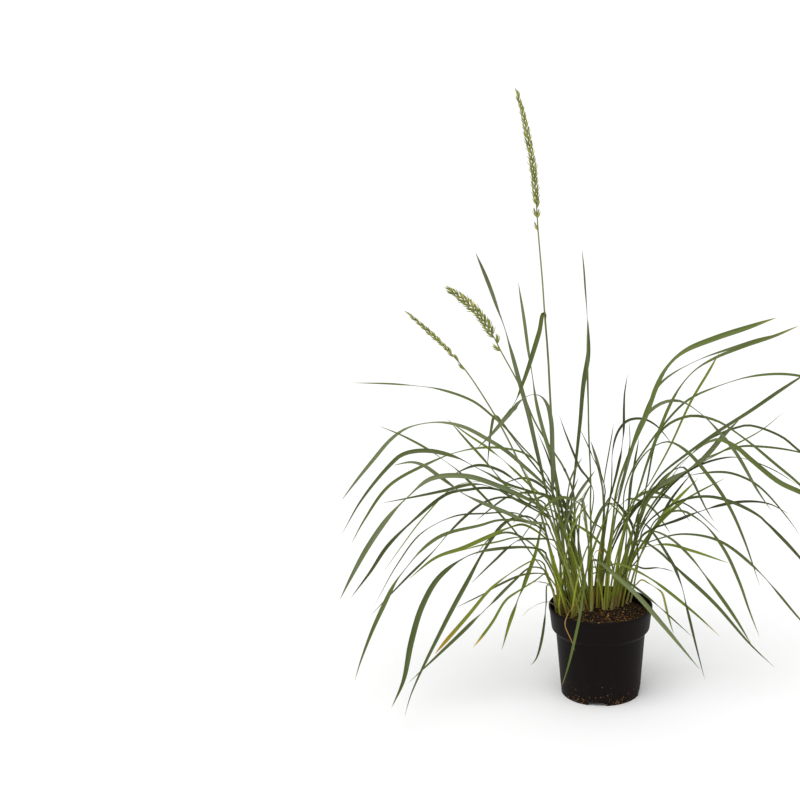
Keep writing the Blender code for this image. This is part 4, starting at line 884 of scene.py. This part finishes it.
def add_grown_leaf(parts, tiller, line, width, kind, number, swing=1.0):
    """A whole leaf: its sheath rolled round the tiller, and its blade along the line to the tip."""
    dry_share, bloom = leaf_kinds[kind][3:]
    soil_tint, foot_tint, body_tint, tip_tint = leaf_tints(kind, number)
    heading = Vector((line[-1].x - line[0].x, line[-1].y - line[0].y, 0.0)).normalized()
    sideways = Vector((heading.y, -heading.x, 0.0))
    if sideways.y > 0:
        sideways = -sideways
    foot_turn, tip_turn = blade_turns(number)
    first_face = Vector((0.0, 0.0, math.cos(foot_turn))) + sideways * math.sin(foot_turn)
    head_radius = least_head_radius + head_radius_share * width
    stations = []
    for i in range(sheath_stations):
        centre = tiller[i]
        along = (tiller[i + 1] - tiller[max(i - 1, 0)]).normalized()
        face = (first_face - along * first_face.dot(along)).normalized()
        radius = head_radius + foot_thickening * (1 - i / sheath_stations)
        section = leaf_section(rolled * radius, rolled, 0.0, 0.3 * MM)
        above_soil = centre.z - soil_top
        tint = mixed(soil_tint, foot_tint, above_soil / (28 * MM))
        tint = mixed(tint, body_tint, 0.8 * above_soil / (150 * MM))
        stations.append((centre - face * radius, along.cross(face), face, section, (*tint[:3], 0.3 * bloom), i * 20 * MM))
    length = run_along(line)[-1]
    blade_curl = 0.30 + 0.45 * (number * 0.5698 % 1)
    edge_place, edge_amount, widened, broadest = places_of(number, kind)
    for i in range(blade_stations):
        u = i / blade_stations
        run = u * length
        along = (line[i + 1] - line[max(i - 1, 0)]).normalized()
        turn = foot_turn + (tip_turn - foot_turn) * u
        face = Vector((0.0, 0.0, math.cos(turn))) + sideways * math.sin(turn)
        face = (face - along * face.dot(along)).normalized()
        edge_on = along.cross(eye - line[i]).normalized()
        if edge_on.dot(face) < 0:
            edge_on = -edge_on
        swung = swing * edge_amount * math.exp(-(((u - edge_place) / 0.10) ** 2))
        face = face.lerp(edge_on, swung).normalized()
        opened = eased(run / (22 * MM))
        half = rolled * head_radius * (1 - opened) + width * blade_share(u, widened, broadest) / 2 * opened
        curl = (blade_curl + 1.1 * (1 - eased(u / 0.35)) + 0.35 * eased((u - 0.7) / 0.3)) * (1 - 0.7 * swung)
        curl = rolled + (curl - rolled) * eased(run / (18 * MM))
        wave = 0.10 * math.sin(run / (17 * MM) + number) * opened
        section = leaf_section(half, curl, (0.16 + wave) * opened * (1 - swung), 0.36 * MM - 0.16 * MM * u)
        centre = line[i] - face * head_radius * (1 - eased(run / (30 * MM)))
        tint = mixed(mixed(foot_tint, body_tint, 0.75), body_tint, run / (80 * MM))
        tint = mixed(tint, tip_tint, (u - 1 + dry_share) / dry_share)
        stations.append((centre, along.cross(face), face, section, (*tint[:3], bloom), 280 * MM + run))
    add_leaf(parts, stations, line[-1])


def young_tiller(foot, stem, height_share, draw):
    """The axis of a young tiller: it stands close to its shoot and leans its own way."""
    bearing = draw.uniform(0, 2 * math.pi)
    out = draw.uniform(3, 7) * MM
    place = Vector((foot[0] * CM + out * math.cos(bearing), foot[1] * CM + out * math.sin(bearing)))
    place *= min(1.0, foot_limit / max(place.length, 1e-6))
    surface = Vector((place.x, place.y, soil_height(place.x, place.y)))
    reach = along_line(stem, height_share) - along_line(stem, 0.06)
    lean = Vector((draw.gauss(0, 0.16), draw.gauss(0, 0.12), 0.0)) * reach.length
    top = surface + reach + lean
    middle = surface.lerp(top, 0.5) - lean * 0.15
    end = surface - (middle - surface).normalized() * rooted_depth
    return smooth_line([end, surface, middle, top], sheath_stations + 1)


def young_leaf_line(tiller, length, drift):
    """The midrib of a young leaf that stands up among the others and leans a little away."""
    onward = (tiller[-1] - tiller[-3]).normalized()
    points = [tiller[-1], tiller[-1] + onward * 12 * MM]
    for share in (0.35, 0.65, 1.0):
        droop = Vector((0.0, 0.0, -0.14 * length * share ** 3))
        points.append(tiller[-1] + onward * length * share + drift * share ** 2 + droop)
    return smooth_line(points, blade_stations + 1)


def add_dry_sheath(parts, tiller, turn, top_share, radius_added, colour):
    """A papery dead sheath that still stands round the foot of a tiller and ends in a torn point."""
    tint = linear(colour)
    stations = []
    steps = 9
    for i in range(steps):
        share = top_share * i / steps
        centre = along_line(tiller, share)
        along = (along_line(tiller, share + 0.02) - centre).normalized()
        face = Vector((math.cos(turn), math.sin(turn), 0.0))
        face = (face - along * face.dot(along)).normalized()
        radius = 1.2 * MM + radius_added * (1 + 0.6 * share)
        curl = max(2.4 * (1 - (i / steps) ** 2), 0.2)
        section = leaf_section(curl * radius, curl, 0.0, 0.22 * MM)
        # The sheath's colour is darkened towards its foot, down to half at its lowest point.
        shade = 0.5 + 0.5 * i / steps
        darker = [channel * shade for channel in tint[:3]]
        stations.append((centre - face * radius, along.cross(face), face, section, (*darker, 0.0), i * 8 * MM))
    tip = along_line(tiller, top_share) - stations[-1][2] * (radius + 1.5 * MM)
    add_leaf(parts, stations, tip)


def add_leafy_piece(name, parts, material, replaced):
    """A piece whose points carry a tint and a place on the leaf, as metres across and along it."""
    piece = add_piece(name, parts["points"], parts["faces"], material, replaced, sharp_above=75.0)
    add_tints(piece, parts["tints"])
    layer = piece.data.uv_layers.new(name="leaf place")
    for loop in piece.data.loops:
        layer.data[loop.index].uv = parts["places"][loop.vertex_index]
    return piece


# Leaf tissue: dull and waxy. Its colour is the tint on its points. Parallel veins run the whole length,
# a millimetre apart, drawn a little coarser than the real ones so that they show, and the upper side
# has a bluish wax bloom that is rubbed off in places.
leaf_tissue, tree, shader = new_material("waxy grass leaf")
tint = add_node(tree, "ShaderNodeAttribute", {"attribute_name": "tint"})
place = add_node(tree, "ShaderNodeUVMap", {"uv_map": "leaf place"}).outputs["UV"]
streaks_place = add_node(tree, "ShaderNodeMapping", Vector=place, Scale=(1 / (0.5 * MM), 1 / (35 * MM), 1.0))
streaks = add_node(tree, "ShaderNodeTexNoise", Vector=streaks_place.outputs["Vector"], Scale=1.0, Detail=3.0)
patches_place = add_node(tree, "ShaderNodeMapping", Vector=place, Scale=(1 / (6 * MM), 1 / (40 * MM), 1.0))
patches = add_node(tree, "ShaderNodeTexNoise", Vector=patches_place.outputs["Vector"], Scale=1.0, Detail=4.0)
shade = add_node(
    tree, "ShaderNodeMapRange", Value=streaks.outputs["Fac"], From_Min=0.3, From_Max=0.7, To_Min=0.76, To_Max=1.2,
).outputs["Result"]
streaked = add_node(
    tree, "ShaderNodeMix", {"data_type": "RGBA", "blend_type": "MULTIPLY"}, _0=1.0, _6=tint.outputs["Color"],
    _7=shade,
).outputs[2]
waxed = add_node(
    tree, "ShaderNodeMapRange", Value=patches.outputs["Fac"], From_Min=0.35, From_Max=0.7, To_Min=0.35, To_Max=1.0,
).outputs["Result"]
bloom = add_node(
    tree, "ShaderNodeMath", {"operation": "MULTIPLY"}, _0=waxed, _1=tint.outputs["Alpha"],
).outputs["Value"]
coloured = add_node(
    tree, "ShaderNodeMix", {"data_type": "RGBA"}, _0=bloom, _6=streaked, _7=linear("7C8668"),
).outputs[2]
tree.links.new(coloured, shader.inputs["Base Color"])
rough = add_node(
    tree, "ShaderNodeMapRange", Value=patches.outputs["Fac"], From_Min=0.3, From_Max=0.7, To_Min=0.42, To_Max=0.62,
).outputs["Result"]
tree.links.new(rough, shader.inputs["Roughness"])
shader.inputs["Specular IOR Level"].default_value = 0.24
veins = add_node(
    tree, "ShaderNodeTexWave", {"wave_type": "BANDS", "bands_direction": "X"}, Vector=place,
    Scale=1 / (6.283 * MM), Distortion=0.0,
)
relief = add_node(tree, "ShaderNodeBump", Strength=0.35, Distance=0.15 * MM, Height=veins.outputs["Fac"])
tree.links.new(relief.outputs["Normal"], shader.inputs["Normal"])

dry_colours = ("B8945C", "94703E", "A88A5C", "A88840", "7C6236")
dead_straws = {
    2: ((0.12, 0.13, -3.5, "bleached", ((-8.6, 15.6), (-11.4, 14.5), (-13.1, 12.8))),),
    34: ((0.86, 0.22, -3.0, "dead", ((-0.9, 24.2), (-0.3, 24.7), (0.3, 24.0))),),
}
draw = random.Random(23)
number = 0
for i, (foot, head, rows) in enumerate(shoots):
    stem = sheath_line(foot, head)
    parts = {"points": [], "faces": [], "places": [], "tints": []}
    first_bearing = draw.uniform(0, 2 * math.pi)
    spread = tiller_spread * (0.5 if math.hypot(*foot) * CM > 66 * MM else 1.0)
    tillers = []
    for j, (opens_at, width, tip_depth, kind, readings) in enumerate(rows):
        tillers.append(tiller_line(stem, opens_at, first_bearing + 2 * math.pi * j / len(rows), spread))
        line = blade_line(stem, opens_at, tip_depth, readings, blade_stations + 1)
        add_grown_leaf(parts, tillers[-1], line, width * CM, kind, number)
        number += 1
    for opens_at, width, tip_depth, kind, readings in dead_straws.get(i + 1, ()):
        line = blade_line(stem, opens_at, tip_depth, readings, blade_stations + 1)
        add_grown_leaf(parts, tiller_line(stem, opens_at, 0.0, 2 * MM), line, width * CM, kind, 2 * i)
    for j in range(1 if i % 3 else 0):
        tillers.append(young_tiller(foot, stem, draw.uniform(0.34, 0.66), draw))
        bearing = draw.uniform(0, 2 * math.pi)
        drift = Vector((math.cos(bearing), math.sin(bearing), 0.0)) * draw.uniform(20, 90) * MM
        line = young_leaf_line(tillers[-1], draw.uniform(110, 210) * MM, drift)
        kind = draw.choice(("dark", "green", "grey", "fresh"))
        add_grown_leaf(parts, tillers[-1], line, draw.uniform(3.4, 7.0) * MM, kind, 100 + 2 * i + j, 0.5)
    for tiller in draw.sample(tillers, 1 + i % 2):
        top_share = draw.uniform(0.14, 0.45)
        turn = draw.uniform(0, 2 * math.pi)
        add_dry_sheath(parts, tiller, turn, top_share, draw.uniform(0.3, 0.8) * MM, draw.choice(dry_colours))
    add_leafy_piece(f"grass_shoot_{i + 1:02d}", parts, leaf_tissue, [f"shoot_{i + 1:02d}"])


# Flower stalks. Each is a round hollow culm with a few swollen joints, sheathed in its lower part, and
# ends in a narrow spike: pairs of spikelets in two rows, each a packet of overlapping pointed husks.
# A stalk has its foot, the culm's readings up to the spike and its depth there, the spike's readings
# and the depth of its tip; in millimetres, how wide the spike is, how far apart its close spikelets sit
# and where they start, and how far up it the lone ones are; and a leaf if it has one.
stalks = (
    ((-4.5, 2.9), ((-5.6, 22.0), (-6.9, 33.0), (-7.5, 41.0), (-8.0, 50.3), (-8.3, 57.5), (-8.8, 64.6),
                   (-9.1, 69.7), (-9.7, 77.6)), 3.0,
     ((-10.0, 83.0), (-10.4, 88.0), (-11.2, 92.5), (-12.0, 96.5), (-13.0, 99.8)), 3.0, (12.5, 5.8, 36), (0, 20, 21),
     ((0.776, 1.0, -3, "green", ((-9.2, 64.3), (-9.8, 61.4), (-10.8, 58.0), (-12.3, 53.3), (-13.9, 49.4),
                                 (-16.0, 46.5))),)),
    ((-4.9, 5.5), ((-5.2, 22.0), (-4.2, 30.0), (-4.4, 34.6), (-5.9, 38.8), (-7.7, 41.8), (-9.4, 44.5),
                   (-10.7, 47.0), (-12.7, 52.2), (-15.8, 58.3)), 12.0,
     ((-17.0, 60.8), (-19.5, 64.7), (-22.7, 67.6), (-24.4, 68.6)), 13.0, (17.0, 5.4, 25), (0, 13), ()),
    ((-5.2, 1.5), ((-8.2, 25.0), (-10.4, 33.4), (-13.4, 40.4), (-15.0, 43.9), (-16.9, 47.6),
                   (-18.9, 51.1), (-21.4, 55.0)), -2.0,
     ((-24.1, 58.3), (-26.7, 61.0), (-29.6, 63.7), (-31.0, 64.9)), -3.0, (9.5, 6.0, 28), (0, 17), ()),
)
culm_foot_radius = 2.2 * MM
culm_head_radius = 1.1 * MM
rachis_tip_radius = 0.6 * MM
culm_sides = 12
stalk_points = 121
husk_length = 14.5 * MM
husk_columns = 7
husk_stations = 7


def stalk_line(foot, culm, spike_depth, spike, tip_depth):
    """Evenly spaced points up a whole stalk, and how many of them are below its spike."""
    lower = [
        seen(*reading, foot[1] + (spike_depth - foot[1]) * (i + 1) / len(culm)) for i, reading in enumerate(culm)
    ]
    upper = [
        seen(*reading, spike_depth + (tip_depth - spike_depth) * (i + 1) / len(spike))
        for i, reading in enumerate(spike)
    ]
    surface, end = rooted(foot, lower[0])
    line = smooth_line([end, surface, *lower, *upper], stalk_points)
    below = min(range(len(line)), key=lambda i: (line[i] - lower[-1]).length)
    return line, below


def add_tube(parts, line, radii, tints, sides):
    """A round tube along a line, closed at both ends."""
    first = len(parts["points"])
    across = Vector((1.0, 0.0, 0.0))
    run = 0.0
    for i, centre in enumerate(line):
        along = (line[min(i + 1, len(line) - 1)] - line[max(i - 1, 0)]).normalized()
        across = (across - along * across.dot(along)).normalized()
        other = along.cross(across)
        run += (centre - line[max(i - 1, 0)]).length
        for side in range(sides):
            angle = 2 * math.pi * side / sides
            parts["points"].append(centre + (across * math.cos(angle) + other * math.sin(angle)) * radii[i])
            parts["places"].append((radii[i] * (angle - math.pi), run))
            parts["tints"].append((*tints[i][:3], 0.3))
    parts["faces"].append(tuple(first + side for side in reversed(range(sides))))
    parts["faces"].append(tuple(first + (len(line) - 1) * sides + side for side in range(sides)))
    for ring in range(len(line) - 1):
        for side in range(sides):
            near = first + ring * sides + side
            far = first + ring * sides + (side + 1) % sides
            parts["faces"].append((near, far, far + sides, near + sides))


def add_husk(parts, foot, onward, outward, length, width, tint):
    """One boat-shaped husk: pointed at both ends, keeled on its outer side and hollow towards the rachis."""
    first = len(parts["points"])
    sideways = onward.cross(outward)
    ring = 2 * husk_columns
    parts["points"].append(foot)
    parts["places"].append((0.0, 0.0))
    parts["tints"].append((*tint[:3], 0.0))
    for station in range(1, husk_stations):
        v = station / husk_stations
        half = width / 2 * math.sin(math.pi * v ** 0.75) ** 0.8 * (1 - 0.25 * v)
        bulge = width * 0.3 * math.sin(math.pi * v ** 0.8)
        centre = foot + onward * length * v + outward * bulge
        # Painted shade: each husk's colour is darkened towards its foot, where it is tucked in among the other husks,
        # and lightened towards its tip.
        shade = 0.8 + 0.35 * v
        for side in range(ring):
            inner = side >= husk_columns
            s = 2 * (side if not inner else ring - 1 - side) / (husk_columns - 1) - 1
            depth = 0.9 * half * (1 - s * s) + 0.2 * MM * (not inner) - half * 0.75
            parts["points"].append(centre + sideways * half * s * (1 if not inner else 0.94) + outward * depth)
            parts["places"].append((s * half, length * v))
            parts["tints"].append((tint[0] * shade, tint[1] * shade, tint[2] * shade, 0.0 if inner else 0.1))
    parts["points"].append(foot + onward * length)
    parts["places"].append((0.0, length))
    parts["tints"].append((*tint[:3], 0.0))
    tip = len(parts["points"]) - 1
    for side in range(ring):
        following = (side + 1) % ring
        parts["faces"].append((first, first + 1 + side, first + 1 + following))
        for station in range(husk_stations - 2):
            low = first + 1 + station * ring
            parts["faces"].append((low + side, low + ring + side, low + ring + following, low + following))
        last = first + 1 + (husk_stations - 2) * ring
        parts["faces"].append((last + side, tip, last + following))


# The husks of a spikelet, the outer pair first: how far each is turned to the front or back, how far up
# it sits, how much it leans out, and its width in millimetres.
spikelet_husks = ((-1.8, 0.0, 0.6, 2.4), (1.8, 0.0, 0.6, 2.4), (0.0, 0.6, 1.3, 2.8), (-0.9, 2.2, 0.95, 3.4),
                  (0.9, 3.6, 0.85, 3.4), (0.2, 5.2, 0.7, 2.4))


def add_spikelet(parts, foot, along, side, spike_width, draw, leans=1.0):
    """A packet of husks on one side of the rachis."""
    front = along.cross(side)
    lean = math.asin(min(0.6, 0.45 * spike_width / husk_length)) * leans * draw.uniform(0.85, 1.2)
    size = (spike_width / (12.5 * MM)) ** 0.5 * draw.uniform(0.9, 1.05)
    for spread, up, tilted, width in spikelet_husks:
        tilt = lean * tilted + draw.uniform(-0.04, 0.04)
        onward = (along * math.cos(tilt) + side * math.sin(tilt) + front * spread * 0.07).normalized()
        outward = (side * 0.7 + front * spread).normalized()
        outward = (outward - onward * outward.dot(onward)).normalized()
        start = foot + along * up * MM + side * 0.5 * MM + front * spread * 0.5 * MM
        colour = draw.choice(("8C9238", "7C8632", "9EA244", "ACA64C", "747C34"))
        length = husk_length * size * draw.uniform(0.85, 1.0)
        add_husk(parts, start, onward, outward, length, width * size * MM, linear(colour))


# Culm and husk tissue: the same waxy tissue as the leaves, drying to straw, so it takes the same material.
joint_shape = ((-4.0, 1.05, 0.2), (-1.5, 1.3, 0.9), (0.0, 1.42, 1.0), (1.5, 1.25, 0.7), (4.0, 1.0, 0.1))
joint_places = (0.24, 0.52)
draw = random.Random(37)
culm_green, culm_straw, joint_colour = linear("56652E"), linear("7E7E48"), linear("3E3A1C")
for i, (foot, culm, spike_depth, spike, tip_depth, spike_sizes, lone, rows) in enumerate(stalks):
    spike_width, pitch, close_from = [size * MM for size in spike_sizes]
    line, below = stalk_line(foot, culm, spike_depth, spike, tip_depth)
    lengths = run_along(line)
    rings = [(run, 1.0, 0.0) for run in lengths]
    for place in joint_places:
        rings = [ring for ring in rings if abs(ring[0] - place * lengths[below]) > 5 * MM]
        rings += [(place * lengths[below] + aside * MM, swell, dark) for aside, swell, dark in joint_shape]
    rings.sort()
    centres, radii, tints = [], [], []
    for run, swell, dark in rings:
        up_culm = min(1.0, run / lengths[below])
        up_spike = max(0.0, (run - lengths[below]) / (lengths[-1] - lengths[below]))
        radius = culm_foot_radius + (culm_head_radius - culm_foot_radius) * up_culm
        radius += (rachis_tip_radius - culm_head_radius) * up_spike
        centres.append(along_line(line, run / lengths[-1]))
        radii.append(radius * swell)
        tints.append(mixed(mixed(culm_green, culm_straw, up_culm), joint_colour, dark))
    parts = {"points": [], "faces": [], "places": [], "tints": []}
    add_tube(parts, centres, radii, tints, culm_sides)
    close_places = []
    run = close_from
    while run < lengths[-1] - lengths[below] - 13 * MM:
        close_places.append(run)
        run += pitch
    for spikelet, run in enumerate([place * MM for place in lone] + close_places):
        share = (lengths[below] + run) / lengths[-1]
        centre = along_line(line, share)
        along = (along_line(line, min(1.0, share + 0.01)) - centre).normalized()
        side = along.cross(eye - centre).normalized() * (1 if spikelet % 2 else -1)
        slimmer = 1 - 0.4 * eased(2.2 * run / (lengths[-1] - lengths[below]) - 1.2)
        add_spikelet(parts, centre, along, side, spike_width * slimmer, draw)
    end = line[-1] - along * 13 * MM
    add_spikelet(parts, end, along, side, 0.6 * spike_width, draw, 0.0)
    culm_line = line[:below + 1]
    for opens_at, width, tip_depth, kind, readings in rows:
        leaf = blade_line(culm_line, opens_at, tip_depth, readings, blade_stations + 1)
        tiller = tiller_line(culm_line, opens_at, 0.0, 0.0)
        add_grown_leaf(parts, tiller, leaf, width * CM, kind, stalk_leaf_number)
    add_dry_sheath(parts, culm_line, draw.uniform(0, 6), 0.30, 0.5 * MM, "7C7A3C")
    add_leafy_piece(f"flowering_stalk_{i + 1}", parts, leaf_tissue, [f"flower_stalk_{i + 1}"])
